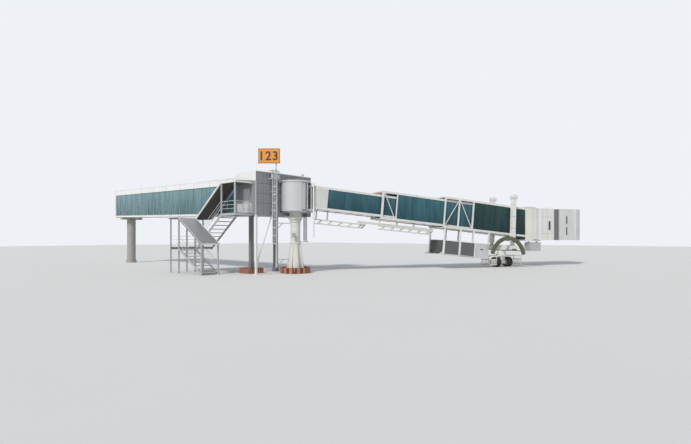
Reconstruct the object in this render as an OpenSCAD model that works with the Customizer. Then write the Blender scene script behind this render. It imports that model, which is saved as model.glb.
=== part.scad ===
/* [Corridor] */
// clear outside width of the fixed corridor
corridor_w = 1400; // [1200:10:1600]
// length of the fixed corridor from the junction box to the terminal
corridor_l = 14675; // [12000:5:15500]
// outside height of the fixed corridor
corridor_h = 1885; // [1600:5:2100]
// height of the underside of the corridor where it meets the box
corridor_z = 2855; // [2700:5:3000]
// rise of the corridor floor towards the terminal, in degrees
corridor_ramp = 1.35; // [0.5:0.05:2]
// number of window bays on each side
corridor_bays = 18; // [12:1:20]
// height of the lower edge beam
edge_beam_h = 110; // [80:5:150]
// height of the corridor floor top above its underside
corridor_floor = 190; // [180:5:220]
// height of the white upper fascia
fascia_h = 350; // [250:5:450]
// thickness of floors and roofs
slab_t = 60; // [40:2:90]
// depth of posts and beams across the wall
post_d = 70; // [50:2:100]
// width of the slim window posts
post_w = 40; // [24:2:60]
// thickness of the glass panes
glass_t = 12; // [8:1:20]
// radius of the round concrete column
pier_r = 280; // [200:5:350]
// distance of the concrete column from the terminal end
pier_in = 900; // [600:10:2500]

/* [Junction box] */
// outside width of the box along the facade
box_w = 3565; // [3200:5:3900]
// outside depth of the box
box_d = 1605; // [1400:5:1900]
// height of the box underside
box_z = 2860; // [2700:5:3000]
// outside height of the box
box_h = 2075; // [1900:5:2300]
// wall thickness of the box
box_wall = 60; // [40:2:90]
// distance of the box front from the rotunda centre
box_front = 370; // [350:5:450]
// distance of the box left side from the rotunda centre
box_left = 2150; // [2000:5:2300]
// width of the square dark columns
leg_w = 180; // [150:5:300]
// width of the slim white post
slim_w = 90; // [60:2:120]
// height of the white wedge band at the front corner
wedge_h = 470; // [350:5:550]
// height of the white wedge band at the rear
wedge_h2 = 300; // [200:5:400]

/* [Stair] */
// width of each flight
flight_w = 940; // [800:10:1050]
// height of the middle landing
mid_z = 1290; // [1150:5:1450]
// height of the upper landing
top_z = 2940; // [2750:5:3050]
// start of the lower flight, measured along the corridor from the rotunda centre
foot_y = 2000; // [1800:10:2300]
// near edge of the middle landing
mid_y = 4120; // [3900:10:4400]
// depth of the middle landing
landing_d = 880; // [750:10:1000]
// front edge of the upper landing
top_y0 = 700; // [600:10:800]
// rear edge of the upper landing
top_y1 = 1860; // [1750:10:1950]
// number of treads in each flight
tread_n = 9; // [8:1:12]
// thickness of treads and landings
tread_t = 24; // [16:2:40]
// width of the stair posts
stair_post = 60; // [44:2:90]
// height of the canopy above the flights
canopy_h = 1440; // [1250:10:1550]
// thickness of the canopy
canopy_t = 50; // [30:2:70]
// height of the handrail above the treads
rail_h = 540; // [480:10:600]

/* [Ladder and sign] */
// position of the ladder along the facade
ladder_x = -1215; // [-1400:5:-1100]
// width over the ladder stiles
ladder_w = 230; // [180:5:280]
// height of the lowest rung
ladder_z0 = 1450; // [1300:10:1600]
// height of the ladder top
ladder_z1 = 5040; // [4800:10:5200]
// spacing of the cage hoops
hoop_pitch = 395; // [350:5:450]
// width of the stand number panel
sign_w = 1040; // [900:10:1300]
// height of the stand number panel
sign_h = 705; // [600:5:900]
// height of the panel's lower edge
sign_z = 5370; // [5200:5:5500]
// turn of the panel away from the facade, in degrees
sign_turn = 48; // [0:1:60]

/* [Rotunda] */
// outside radius of the rotunda wall
drum_r = 750; // [700:5:800]
// height of the rotunda underside
drum_z = 3080; // [3000:5:3150]
// height of the rotunda wall
drum_h = 1410; // [1350:5:1500]
// thickness of the curved walls
drum_t = 14; // [10:1:20]
// gap between the fixed and the turning curved wall
drum_gap = 10; // [8:1:20]
// radius of the column shaft
shaft_r = 245; // [200:5:300]
// radius of the base flange
flange_r = 560; // [480:5:640]
// radius of the anchor bolt circle
bolt_circle_r = 490; // [420:5:560]
// diameter of the anchor bolt holes
bolt_hole_d = 36; // [24:2:48]
// distance of the low guard plates from the column centre
guard_r = 700; // [650:5:760]
// width of one low guard plate
guard_w = 540; // [440:10:560]
// height of the low guard plates
guard_h = 290; // [220:5:340]
// height at which the base cone ends
cone_z = 1320; // [1100:10:1500]

/* [Tunnels] */
// angle between the tunnel and the facade, in degrees
yaw = 26; // [15:0.5:40]
// downward slope of the tunnel, in degrees
slope = 5.14; // [3:0.02:6]
// distance of the pitch hinge from the rotunda centre
pivot_u = 780; // [700:5:850]
// height of the pitch hinge
pivot_z = 3205; // [3150:5:3300]
// outside width of the inner tunnel
a_w = 1050; // [950:10:1100]
// outside height of the inner tunnel
a_h = 1165; // [1080:5:1200]
// length of the inner tunnel
a_l = 7105; // [6500:5:7300]
// side gap between nested tunnels
nest_gap = 45; // [25:1:60]
// wall depth of the tunnels
tun_wall = 70; // [50:2:90]
// drop from one tunnel underside to the next
nest_drop = 100; // [90:1:140]
// headroom step from one tunnel roof to the next
nest_rise = 190; // [150:5:240]
// start of the middle tunnel
b_x0 = 3700; // [3500:5:4000]
// length of the middle tunnel
b_l = 6500; // [6000:5:6800]
// start of the outer tunnel
c_x0 = 7530; // [7300:5:7800]
// length of the outer tunnel
c_l = 5950; // [5600:5:6200]
// height of tunnel edge chords
chord_h = 110; // [80:5:140]
// thickness of tunnel floors and roofs
deck_t = 40; // [30:1:50]

/* [Booms and machine unit] */
// thickness of the boom chords
boom_bar = 56; // [30:2:64]
// length of the boom under the inner tunnel
boom_a_l = 2800; // [2400:10:2900]
// length of the boom under the middle tunnel
boom_b_l = 3350; // [3000:10:3500]
// drop of the inner tunnel's boom
boom_a_drop = 490; // [460:5:550]
// drop of the middle tunnel's boom
boom_b_drop = 470; // [440:5:500]
// distance between the upper and the lower chords of a boom
boom_depth = 200; // [150:5:220]
// drop of the machine unit below the outer tunnel
unit_drop = 700; // [600:5:800]
// height of the machine unit
unit_h = 800; // [700:5:850]
// length of the machine unit
unit_l = 3095; // [2800:5:3200]

/* [Lift and bogie] */
// distance of the lift columns from the outer end of the outer tunnel
lift_in = 1290; // [1000:5:1500]
// width of the outer lift columns
lift_w = 230; // [200:5:340]
// wall thickness of the outer lift columns
lift_t = 24; // [16:1:30]
// lean of the lift columns from upright, in degrees
lift_lean = 2; // [0:0.1:4]
// height of the lift column tops
lift_top = 4285; // [4100:5:4400]
// height of the lower end of the outer columns
lift_low = 1470; // [1400:5:1600]
// outer radius of the hose arch
arch_r = 1276; // [1200:4:1300]
// radial width of the hose arch
arch_t = 220; // [120:5:240]
// radius of the drive wheels
wheel_r = 300; // [260:5:320]
// width of one tyre
tyre_w = 170; // [140:5:190]
// distance of the wheel centres from the bogie centre
wheel_off = 430; // [400:5:480]

/* [Cab] */
// distance of the cab hinge beyond the end of the outer tunnel
cab_out = 420; // [380:5:500]
// drop of the cab floor below the end of the outer tunnel
cab_drop = 397; // [350:1:450]
// outside height of the cab
cab_h = 1960; // [1850:10:2050]
// radius of the rounded cab side walls
cab_r = 1000; // [950:5:1050]
// outside width of the cab body
cab_w = 1800; // [1700:10:1900]
// length of the cab body in front of its hinge
cab_l = 1600; // [1500:10:1900]
// length of the rounded outer cab section
nose_l = 2000; // [1400:10:2100]

/* [Hidden] */
$fn = 48;
post_y = box_front + box_d;
corridor_x = -box_left;
start_in = corridor_h * sin(corridor_ramp) + 1;
bay = (corridor_l - post_w) / corridor_bays;
a_hw = a_w / 2;
b_in = a_hw + nest_gap;
b_hw = b_in + tun_wall;
c_in = b_hw + nest_gap;
c_hw = c_in + tun_wall;
b_z0 = -nest_drop - 20;
b_z1 = a_h + nest_rise + 30;
c_z0 = b_z0 - nest_drop + 20;
c_z1 = b_z1 + nest_rise - 40;
inner_r = drum_r - drum_t - drum_gap;
rise1 = mid_z / tread_n;
rise2 = (top_z - mid_z) / tread_n;
col_y = c_hw + 40 + lift_w / 2;
lift_x = c_x0 + c_l - lift_in;
lift_u = pivot_u + lift_x * cos(slope);
cab_u = pivot_u + (c_x0 + c_l) * cos(slope) + cab_out;
cab_z = pivot_z - (c_x0 + c_l) * sin(slope) - cab_drop;
table_r = cab_r - 240;
pin_r = 30;
pin_drop = 130;
pin_u = pivot_u - pin_drop * sin(slope);
pin_z = pivot_z - pin_drop * cos(slope);
run_gap = 0.05;
axle_r = 45;
floor_z = 3050;
turn_t = 34;
seat_gap = 0.3;
guard_t = 20;
gus_r = flange_r - 110;
rail_t = 18;
mast_w = 46;
post_back = 38;
post_gap = 0.3;
tray_z = 1540;
recess_r = drum_r + 40;
roof_t = 60;
leg_xa = -1550;
leg_xb = 0;
leg_y = 1550;
flight_in = corridor_x - 20;
flight_mid = flight_in - flight_w;
flight_out = flight_mid - flight_w;

// reach of the column gussets at height z
function gusset_at(z) = gus_r - (gus_r - shaft_r - 20) * (z - 300) / (cone_z - 130);

// square bar from point p to point q
module bar(p, q, w, d = 0) {
  v = q - p;
  len = norm(v);
  dd = d == 0 ? w : d;
  translate(p)
    rotate([0, acos(v[2] / len), atan2(v[1], v[0])])
      translate([-w / 2, -dd / 2, 0])
        cube([w, dd, len]);
}

// round bar from point p to point q
module rod(p, q, r) {
  v = q - p;
  len = norm(v);
  translate(p)
    rotate([0, acos(v[2] / len), atan2(v[1], v[0])])
      cylinder(r = r, h = len, $fn = 24);
}

// curved wall of radius r and thickness t from angle a0 to a1
module arc_wall(r, t, h, a0, a1) {
  rotate([0, 0, a0])
    rotate_extrude(angle = a1 - a0, $fn = 96)
      translate([r - t, 0])
        square([t, h]);
}

module at_corridor() {
  translate([corridor_x, post_y, corridor_z])
    rotate([corridor_ramp, 0, 0])
      children();
}

module at_yaw() {
  rotate([0, 0, -yaw])
    children();
}

module at_tunnel() {
  at_yaw()
    translate([pivot_u, 0, pivot_z])
      rotate([0, slope, 0])
        children();
}

module at_lift(x = 0) {
  at_yaw()
    translate([lift_u, x, 0])
      rotate([0, lift_lean, 0])
        children();
}

// fixed corridor to the terminal
module corridor_frame() {
  w = corridor_w;
  h = corridor_h;
  l = corridor_l;
  color("#e9e9e6") {
    at_corridor() {
      translate([post_d, start_in, corridor_floor - slab_t])
        cube([w - 2 * post_d, l - start_in, slab_t]);
      translate([0, start_in, h - slab_t])
        cube([w, l - start_in, slab_t]);
      for (x = [0, w - post_d]) {
        translate([x, start_in, 0])
          cube([post_d, l - start_in, edge_beam_h]);
        translate([x, start_in, h - fascia_h])
          cube([post_d, l - start_in, fascia_h]);
      }
      for (i = [1:corridor_bays - 1])
        for (x = [0, w - post_d + 30])
          translate([x, i * bay, edge_beam_h - 20])
            cube([post_d - 30, post_w, h - fascia_h - edge_beam_h + 40]);
      for (i = [1:3:corridor_bays]) {
        translate([20, i * bay, 12])
          cube([w - 40, post_w, edge_beam_h - 22]);
        translate([post_d + 20, i * bay + 2, 14])
          cube([w - 2 * post_d - 40, post_w - 4, corridor_floor - slab_t - 4]);
      }
    }
    end_portal();
    start_band();
  }
}

// upright frame at the terminal end
module end_portal() {
  zz = corridor_z + corridor_l * sin(corridor_ramp);
  translate([corridor_x - 40, post_y + corridor_l * cos(corridor_ramp) - 60, zz - 40])
    difference() {
      cube([corridor_w + 80, 120, corridor_h + 60]);
      translate([120, -1, 150])
        cube([corridor_w - 160, 122, corridor_h - 270]);
    }
}

// upright band where the corridor meets the box
module start_band() {
  translate([corridor_x - 15, post_y, corridor_z - 12])
    difference() {
      cube([corridor_w + 30, 70, corridor_h + 24]);
      translate([post_d + 29, -1, corridor_floor + 19])
        cube([corridor_w - 2 * post_d - 28, 72, corridor_h - slab_t - corridor_floor - 60]);
    }
}

module corridor_glass() {
  color("#6f959c")
    at_corridor()
      for (x = [40, corridor_w - 40 - glass_t])
        translate([x, 120, edge_beam_h])
          cube([glass_t, corridor_l - 200, corridor_h - fascia_h - edge_beam_h]);
}

module corridor_pier() {
  y = post_y + corridor_l - pier_in;
  z = corridor_z + (corridor_l - pier_in) * tan(corridor_ramp);
  color("#b9b6ae")
    translate([corridor_x + corridor_w / 2, y, 0]) {
      cylinder(r = pier_r, h = z - 150);
      translate([-corridor_w / 2, -170, z - 150])
        cube([corridor_w, 340, 150 - 170 * tan(corridor_ramp)]);
      cylinder(r = pier_r + 60, h = 180);
    }
}

// junction box between corridor, stair and rotunda
module box_shell() {
  t = box_wall;
  color("#85878a")
    translate([-box_left, box_front, box_z])
      difference() {
        cube([box_w, box_d, box_h]);
        translate([t, t, floor_z - box_z])
          cube([box_w - 2 * t, box_d - 2 * t, box_h - t - floor_z + box_z]);
        translate([post_d, box_d - t - 1, floor_z - box_z])
          cube([corridor_w - 2 * post_d, t + 2, corridor_h - fascia_h - 260]);
        translate([box_left, -box_front, drum_z - 60 - box_z])
          cylinder(r = recess_r, h = drum_h + 120, $fn = 96);
        translate([-1, 470, floor_z - box_z + 5])
          cube([t + 2, 560, 1080]);
      }
}

module landing_door() {
  color("#9b9d9f")
    translate([-box_left + 20, box_front + 475, floor_z + 10])
      difference() {
        cube([30, 550, 1070]);
        translate([-1, 130, 560])
          cube([32, 290, 380]);
      }
}

// white wedge band along the roof edge
module box_wedge() {
  color("#eeeeec")
    translate([-box_left, box_front, box_z + box_h])
      rotate([90, 0, 0])
        rotate([0, -90, 0])
          linear_extrude(height = 24)
            polygon([[0, 0], [-box_d, 0], [-box_d, -wedge_h2], [0, -wedge_h]]);
}

module box_legs() {
  color("#4d5053") {
    for (x = [leg_xa, leg_xb]) {
      translate([x - leg_w / 2, leg_y - leg_w / 2, 0])
        cube([leg_w, leg_w, box_z]);
      translate([x - leg_w / 2 - 50, leg_y - leg_w / 2 - 50, 0])
        cube([leg_w + 100, leg_w + 100, 40]);
    }
  }
}

// slim white post under the front corner with its brace
module slim_post() {
  color("#dcdcda") {
    difference() {
      bar([-box_left + 60, box_front + 50, 460], [-1150, box_front + 50, box_z + 40], 50);
      translate([-box_left, box_front - 50, box_z])
        cube([box_left, 200, 200]);
    }
    translate([-box_left + 5, box_front + 5, 0])
      cube([slim_w, slim_w, box_z]);
    translate([-box_left - 15, box_front - 15, 0])
      cube([slim_w + 40, slim_w + 40, 20]);
  }
}

// posts, stringers and landing beams of the dog-leg stair
module stair_frame() {
  p = stair_post;
  xo = flight_out;
  xm = flight_mid;
  xi = flight_in;
  y2 = mid_y + landing_d;
  color("#8d9092") {
    for (x = [xo, xm - p]) {
      side_plate(x, x + p, [[foot_y, 0], [foot_y + p, 0],
        [foot_y + p, canopy_low(foot_y + p) - 0.3], [foot_y, canopy_low(foot_y) - 0.3]]);
      for (y = [mid_y, y2 - p])
        translate([x, y, 0])
          cube([p, p, mid_z + canopy_h - 20]);
      roof_plate(x + 10, x + p - 10, foot_y + p - 10, 0, mid_y + 10, mid_z - tread_t - 120, 120);
    }
    for (x = [xm + 5, xi - 45]) {
      roof_plate(x, x + 40, top_y1 - 10, top_z - tread_t - 120, mid_y + 10, mid_z - tread_t - 136, 120);
      translate([x, top_y0, top_z - tread_t - 96])
        cube([40, top_y1 - top_y0, 96]);
    }
    translate([xi - p, y2 - p, 0])
      cube([p, p, mid_z + canopy_h - 20]);
    for (y = [mid_y, y2 - p])
      translate([xo, y, mid_z - tread_t - 96])
        cube([xi - xo, p, 96]);
    for (y = [top_y0, top_y1 - 40])
      translate([xm + 5, y, top_z - tread_t - 96])
        cube([xi - xm + 15, 40, 96]);
    for (y = [top_y0, top_y1 - p])
      translate([xm + 5, y, top_z - 110])
        cube([p, p, canopy_h + 90]);
    for (x = [xo, xm - p, xi - p])
      for (y = [foot_y, mid_y, y2 - p])
        if (!(x == xi - p && y < y2 - p))
          translate([x - 25, y - 25, 0])
            cube([p + 50, p + 50, 14]);
  }
}

// height of the lower canopy's underside at a place along the flight
function canopy_low(y) = canopy_h + (y - foot_y + 40) * (mid_z - 20) / (mid_y - foot_y + 40);

// plate from x0 to x1 with its outline in the upright plane along the corridor
module side_plate(x0, x1, outline) {
  translate([x0, 0, 0])
    rotate([90, 0, 90])
      linear_extrude(height = x1 - x0)
        polygon(outline);
}

module stair_treads() {
  p = stair_post;
  color("#5f6265") {
    for (i = [1:tread_n - 1])
      translate([flight_out + p - 10, foot_y + 70 + (i - 1) * (mid_y - foot_y - 70) / (tread_n - 1), i * rise1 - tread_t])
        cube([flight_w - 2 * p + 20, 250, tread_t]);
    for (i = [1:tread_n - 1])
      translate([flight_mid + 45, mid_y - 20 - i * (mid_y - top_y1) / tread_n - 130, mid_z + i * rise2 - tread_t])
        cube([flight_w - 90, 250, tread_t]);
    difference() {
      translate([flight_out, mid_y, mid_z - tread_t])
        cube([flight_in - flight_out, landing_d, tread_t]);
      for (x = [flight_out, flight_mid - p, flight_in - p])
        for (y = [mid_y, mid_y + landing_d - p])
          if (!(x == flight_in - p && y == mid_y))
            translate([x - 1, y - 1, mid_z - tread_t - 1])
              cube([p + 2, p + 2, tread_t + 2]);
    }
    difference() {
      translate([flight_mid + 5, top_y0, top_z - tread_t])
        cube([flight_w + 15, top_y1 - top_y0, tread_t]);
      for (y = [top_y0, top_y1 - p])
        translate([flight_mid + 4, y - 1, top_z - tread_t - 1])
          cube([p + 2, p + 2, tread_t + 2]);
    }
  }
}

// flat sloping canopies above both flights
module stair_roof() {
  t = canopy_t;
  over = 40;
  y2 = mid_y + landing_d;
  color("#c9cccd") {
    roof_plate(flight_out - over, flight_mid - 5, foot_y - 40, canopy_h, mid_y, mid_z + canopy_h - 20, t);
    roof_plate(flight_out - over, flight_in, mid_y, mid_z + canopy_h - 20, y2 + over, mid_z + canopy_h - 20, t);
    roof_plate(flight_mid, flight_in, top_y1, top_z + canopy_h - 20, mid_y, mid_z + canopy_h - 20, t);
    roof_plate(flight_mid, flight_in, top_y0 - over, top_z + canopy_h - 20, top_y1, top_z + canopy_h - 20, t);
  }
}

module roof_plate(x0, x1, ya, za, yb, zb, t) {
  side_plate(x0, x1, [[ya, za], [yb, zb], [yb, zb + t], [ya, za + t]]);
}

// rails that end on the faces of the posts and of the box
module stair_rails() {
  p = stair_post;
  t = rail_t;
  in = (p - t) / 2;
  xo = flight_out;
  xm = flight_mid;
  y2 = mid_y + landing_d;
  color("#a7aaac")
    for (k = [0.35:0.325:1]) {
      h = k * rail_h;
      for (x = [xo + in, xm - p + in])
        roof_plate(x, x + t, foot_y + p, 60 + h, mid_y, mid_z - 40 + h, t);
      translate([xo + in, mid_y + p, mid_z + h])
        cube([t, landing_d - 2 * p, t]);
      translate([xo + p, y2 - p + in, mid_z + h])
        cube([flight_w - 2 * p, t, t]);
      translate([xm, y2 - p + in, mid_z + h])
        cube([flight_w - p, t, t]);
      roof_plate(xm - 4, xm + 16, top_y1, top_z + h, mid_y, mid_z + 20 + h, t);
      translate([xm + 25, top_y0 + p, top_z + h])
        cube([t, top_y1 - top_y0 - 2 * p, t]);
      translate([xm + 5 + p, top_y0 + in, top_z + h])
        cube([flight_w + 15 - p, t, t]);
    }
}

// caged ladder beside the rotunda
module ladder() {
  x0 = ladder_x - ladder_w / 2;
  x1 = ladder_x + ladder_w / 2;
  y = 130;
  color("#a9acae") {
    translate([x0 - 14, y, ladder_z0])
      cube([28, 28, ladder_z1 - ladder_z0]);
    translate([x1 - 25, y - 10, 300])
      cube([64, 50, ladder_z1 - 300]);
    for (z = [ladder_z0 + 30:150:ladder_z1 - 20])
      translate([x0, y + 14, z])
        rotate([0, 90, 0])
          cylinder(r = 7, h = ladder_w, $fn = 16);
    for (z = [ladder_z0 + 10:hoop_pitch:ladder_z1])
      translate([ladder_x, y + 10, z])
        rotate([0, 0, 180])
          rotate_extrude(angle = 180)
            translate([ladder_w / 2 - 6, 0])
              square([12, 32]);
    for (a = [225, 270, 315])
      translate([ladder_x + (ladder_w / 2 - 3) * cos(a) - 7, y + 10 + (ladder_w / 2 - 3) * sin(a) - 7, ladder_z0 + 10])
        cube([14, 14, ladder_z1 - ladder_z0 - 10]);
    difference() {
      translate([x1, y - 5, 2460])
        cube([-x1 - shaft_r / 2, 40, 40]);
      translate([0, 0, 2400])
        cylinder(r = shaft_r + seat_gap, h = 140);
    }
    bar([x1, y + 15, 2150], [-700, y + 15, 2470], 30);
    translate([x1, y - 5, 680])
      cube([-x1 - gusset_at(680) * cos(22.5) - 15 * sin(22.5) - seat_gap, 40, 40]);
    bar([x1, y + 15, 380], [-650, y + 15, 690], 30);
    for (z = [3100, 4000, 4800])
      translate([ladder_x - 20, y + 10, z])
        cube([40, box_front - y - 10, 30]);
    for (z = [ladder_z1 - 430, ladder_z1 - 30])
      translate([x0 - 70, y, z])
        difference() {
          cube([ladder_w + 250, box_front - y, 30]);
          translate([30, 30, -1])
            cube([ladder_w + 190, box_front - y - 60, 32]);
        }
    for (x = [x0 - 70, x1 + 150])
      translate([x, y, ladder_z1 - 430])
        cube([30, 30, 430]);
  }
}

// single mast with the stand number panel turned towards the apron
module sign_mast() {
  x = ladder_x + 63;
  y = 130 - mast_w / 2;
  color("#c8cacb")
    translate([x - mast_w / 2, y - mast_w / 2, ladder_z1 - 440])
      cube([mast_w, mast_w, sign_z + sign_h - 60 - ladder_z1 + 440]);
  color("#d9821e")
    translate([x, y, sign_z])
      rotate([0, 0, -sign_turn])
        translate([-325 - sign_w / 2, -80, 0])
          cube([sign_w, 60, sign_h]);
}

// fixed column under the rotunda
module rotunda_column() {
  color("#d9d6c9")
    difference() {
      union() {
        cylinder(r = flange_r, h = 50);
        cylinder(r = shaft_r, h = drum_z - 60);
        translate([0, 0, 50])
          cylinder(r1 = 400, r2 = shaft_r, h = cone_z - 50);
        for (a = [22.5:45:360])
          rotate([0, 0, a])
            translate([0, 15, 50])
              rotate([90, 0, 0])
                linear_extrude(height = 30)
                  polygon([[0, 0], [gus_r, 0], [gus_r, 250], [shaft_r + 20, cone_z + 120], [0, cone_z + 120]]);
        translate([0, 0, 2550])
          cylinder(r = 285, h = 120);
        translate([0, 0, 2670])
          cylinder(r = 340, h = 150);
        translate([0, 0, 2820])
          cylinder(r = 300, h = drum_z - 2880);
      }
      for (a = [0:45:359])
        rotate([0, 0, a])
          translate([bolt_circle_r, 0, -1])
            cylinder(d = bolt_hole_d, h = 52, $fn = 32);
    }
}

// low guards of upright plates round the column foot and the front leg
module base_guard() {
  for (i = [0:7])
    color(i % 2 == 0 ? "#c4561c" : "#222222")
      rotate([0, 0, i * 45 + 22.5]) {
        translate([guard_r - guard_t, -guard_w / 2, 0])
          cube([guard_t, guard_w, guard_h]);
        translate([flange_r - 60, -20, 50])
          cube([guard_r - flange_r + 50, 40, 30]);
      }
  for (i = [0:3])
    color(i % 2 == 0 ? "#c4561c" : "#222222")
      translate([leg_xa, leg_y, 0])
        rotate([0, 0, i * 90]) {
          translate([430, -400, 0])
            cube([guard_t, 800, guard_h - 30]);
          translate([leg_w / 2, -20, 40])
            cube([440 - leg_w / 2, 40, 30]);
        }
}

// fixed floor and roof discs tied to the box
module rotunda_cap() {
  r = drum_r + 25;
  zt = drum_z + drum_h;
  color("#b9bbbc") {
    translate([0, 0, drum_z - 60])
      cylinder(r = drum_r - 60, h = 60, $fn = 96);
    translate([-500, 0, drum_z - 60])
      cube([1000, box_front, 60]);
    translate([0, 0, zt])
      cylinder(r = r, h = 60, $fn = 96);
    translate([-560, 0, zt])
      cube([1120, box_front, 60]);
  }
}

// fixed curved wall beside the box
module rotunda_wall() {
  color("#b4b7ba")
    translate([0, 0, drum_z])
      arc_wall(drum_r, drum_t, drum_h, 151, 254);
}

// turning floor, posts and hinge lugs that carry the tunnel
module turn_frame() {
  ri = inner_r - 20;
  color("#c9cbcc")
    at_yaw() {
      translate([0, 0, drum_z + 6])
        cylinder(r = ri, h = turn_t, $fn = 96);
      translate([0, 0, drum_z + seat_gap])
        cylinder(r = 220, h = 20);
      translate([0, a_hw - 20, 0])
        rotate([90, 0, 0])
          linear_extrude(height = a_w - 40)
            polygon([[300, drum_z + 6], [690, drum_z + 6], [690, pin_z + 75], [740, pin_z + 75],
              [740, pivot_z + deck_t], [330, drum_z + 6 + turn_t]]);
      for (s = [-1, 1]) {
        translate([640, s * (a_hw - 30) - 30, drum_z + 6])
          cube([60, 60, drum_h - 20]);
        translate([600, s * (a_hw - 120) - 50, drum_z - 60])
          cube([100, 100, 100]);
        hull() {
          translate([600, s * (a_hw - 120) - 25, drum_z - 60])
            cube([100, 50, 60]);
          translate([pin_u, s * (a_hw - 120) - 25, pin_z])
            rotate([-90, 0, 0])
              cylinder(r = 60, h = 50);
        }
        translate([pin_u, s * (a_hw - 100) - (s > 0 ? 130 : 0), pin_z])
          rotate([-90, 0, 0])
            cylinder(r = pin_r, h = 130);
      }
      translate([640, -a_hw, drum_z + drum_h - 74])
        cube([60, a_w, 60]);
    }
}

// turning curved walls at both sides of the tunnel throat
module turn_curtain() {
  color("#bfc2c4")
    at_yaw()
      translate([0, 0, drum_z + 70]) {
        arc_wall(inner_r, drum_t, drum_h - 84, 46, 100);
        arc_wall(inner_r, drum_t, drum_h - 84, -124, -46);
      }
}

// upright pipe beside the tunnel throat on two brackets
module conduit() {
  y = -a_hw - 60;
  color("#e4e4e1")
    at_yaw() {
      rod([770, y, drum_z + drum_h - 20], [770, y, 1750], 42);
      for (z = [drum_z + drum_h - 60, drum_z + 40]) {
        translate([672, y, z])
          cube([28, 60, 32]);
        translate([672, y - 16, z])
          cube([98, 32, 32]);
      }
    }
}

module cable_drop() {
  color("#1f2022")
    for (i = [0:4])
      translate([330 + i * 34, -250 - i * 22, tray_z + 60])
        cylinder(r = 13, h = drum_z - tray_z - 120, $fn = 24);
}

// flat box under the hanging cables with its arm to the column
module cable_tray() {
  color("#d8d6cc")
    difference() {
      union() {
        translate([215, -400, tray_z])
          cube([305, 260, 60]);
        translate([150, -200, tray_z + 10])
          cube([90, 60, 40]);
      }
      translate([0, 0, tray_z - 40])
        cylinder(r = shaft_r + seat_gap, h = 140);
    }
}

// one floor, one roof and four chords of a tunnel
module tunnel_core(hw, z0, z1, x0, l, wall) {
  translate([x0, -hw, z0])
    cube([l, 2 * hw, deck_t]);
  translate([x0, -hw, z1 - deck_t])
    cube([l, 2 * hw, deck_t]);
  for (s = [-1, 1]) {
    translate([x0, s * (hw - wall / 2) - wall / 2, z0])
      cube([l, wall, chord_h]);
    translate([x0, s * (hw - wall / 2) - wall / 2, z1 - chord_h])
      cube([l, wall, chord_h]);
  }
}

// upright posts at the listed places, with their outer faces on the tunnel side
module tunnel_posts(hw, z0, z1, xs, w, d, gap = 0) {
  for (x = xs)
    for (s = [-1, 1])
      translate([x - w / 2, s * (hw - d / 2) - d / 2, z0 + chord_h + gap])
        cube([w, d, z1 - z0 - 2 * (chord_h + gap)]);
}

a_wall = 50;
a_x0 = -20;
a_glass0 = 720;
a_pitch = (a_x0 + a_l - a_glass0 - 175) / 7;
module tunnel_a_frame() {
  color("#e3e1d8")
    at_tunnel() {
      tunnel_core(a_hw, 0, a_h, a_x0, a_l, a_wall);
      tunnel_posts(a_hw - post_back, 0, a_h, [for (i = [0:7]) a_glass0 + 30 + i * a_pitch], 30, a_wall - post_back);
      for (s = [-1, 1])
        translate([a_x0, s * (a_hw - 25) - 25, chord_h])
          cube([a_glass0 - a_x0, 50, a_h - 2 * chord_h]);
    }
}

// lugs under the inner tunnel, bored for the pitch hinge
module pitch_lugs() {
  color("#e3e1d8")
    at_tunnel()
      for (s = [-1, 1])
        difference() {
          hull() {
            translate([110, s * (a_hw - 185) - 25, -10])
              cube([260, 50, 10]);
            translate([0, s * (a_hw - 185) - 25, -pin_drop])
              rotate([-90, 0, 0])
                cylinder(r = 60, h = 50);
          }
          translate([0, s * (a_hw - 185) - 26, -pin_drop])
            rotate([-90, 0, 0])
              cylinder(r = pin_r + run_gap, h = 52);
        }
}

module tunnel_a_glass() {
  color("#4e7f8c")
    at_tunnel()
      for (s = [-1, 1])
        translate([a_glass0, s * (a_hw - 26 - glass_t / 2) - glass_t / 2, chord_h])
          cube([a_x0 + a_l - a_glass0 - 30, glass_t, a_h - 2 * chord_h]);
}

// lattice cable boom with slanted bars
module boom(x0, l, y, z0, z1, n) {
  h = boom_bar / 2;
  for (s = [-1, 1]) {
    translate([x0, y + s * 55 - h, z1 - h])
      cube([l, boom_bar, boom_bar]);
    translate([x0, y + s * 55 - h, z0 - h])
      cube([l - 150, boom_bar, boom_bar]);
    bar([x0 + l - 180, y + s * 55, z0], [x0 + l - 40, y + s * 55, z1], boom_bar - 10);
    for (i = [0:n - 1])
      bar([x0 + (i + 0.2) * l / n, y + s * 55, z0], [x0 + (i + 0.7) * l / n, y + s * 55, z1], boom_bar - 16);
  }
  for (i = [0:n])
    translate([x0 + 8 + i * (l - 60) / n, y - 50, z1 - 10])
      cube([40, 100, 20]);
}

module boom_a() {
  color("#e8e8e4")
    at_tunnel() {
      boom(260, boom_a_l, -150, -boom_a_drop - boom_depth, -boom_a_drop, 5);
      for (x = [300, 900])
        for (s = [-1, 1])
          translate([x - 15, -165 + s * 55, 10 - boom_a_drop])
            cube([30, 30, boom_a_drop - 10]);
    }
}

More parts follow.
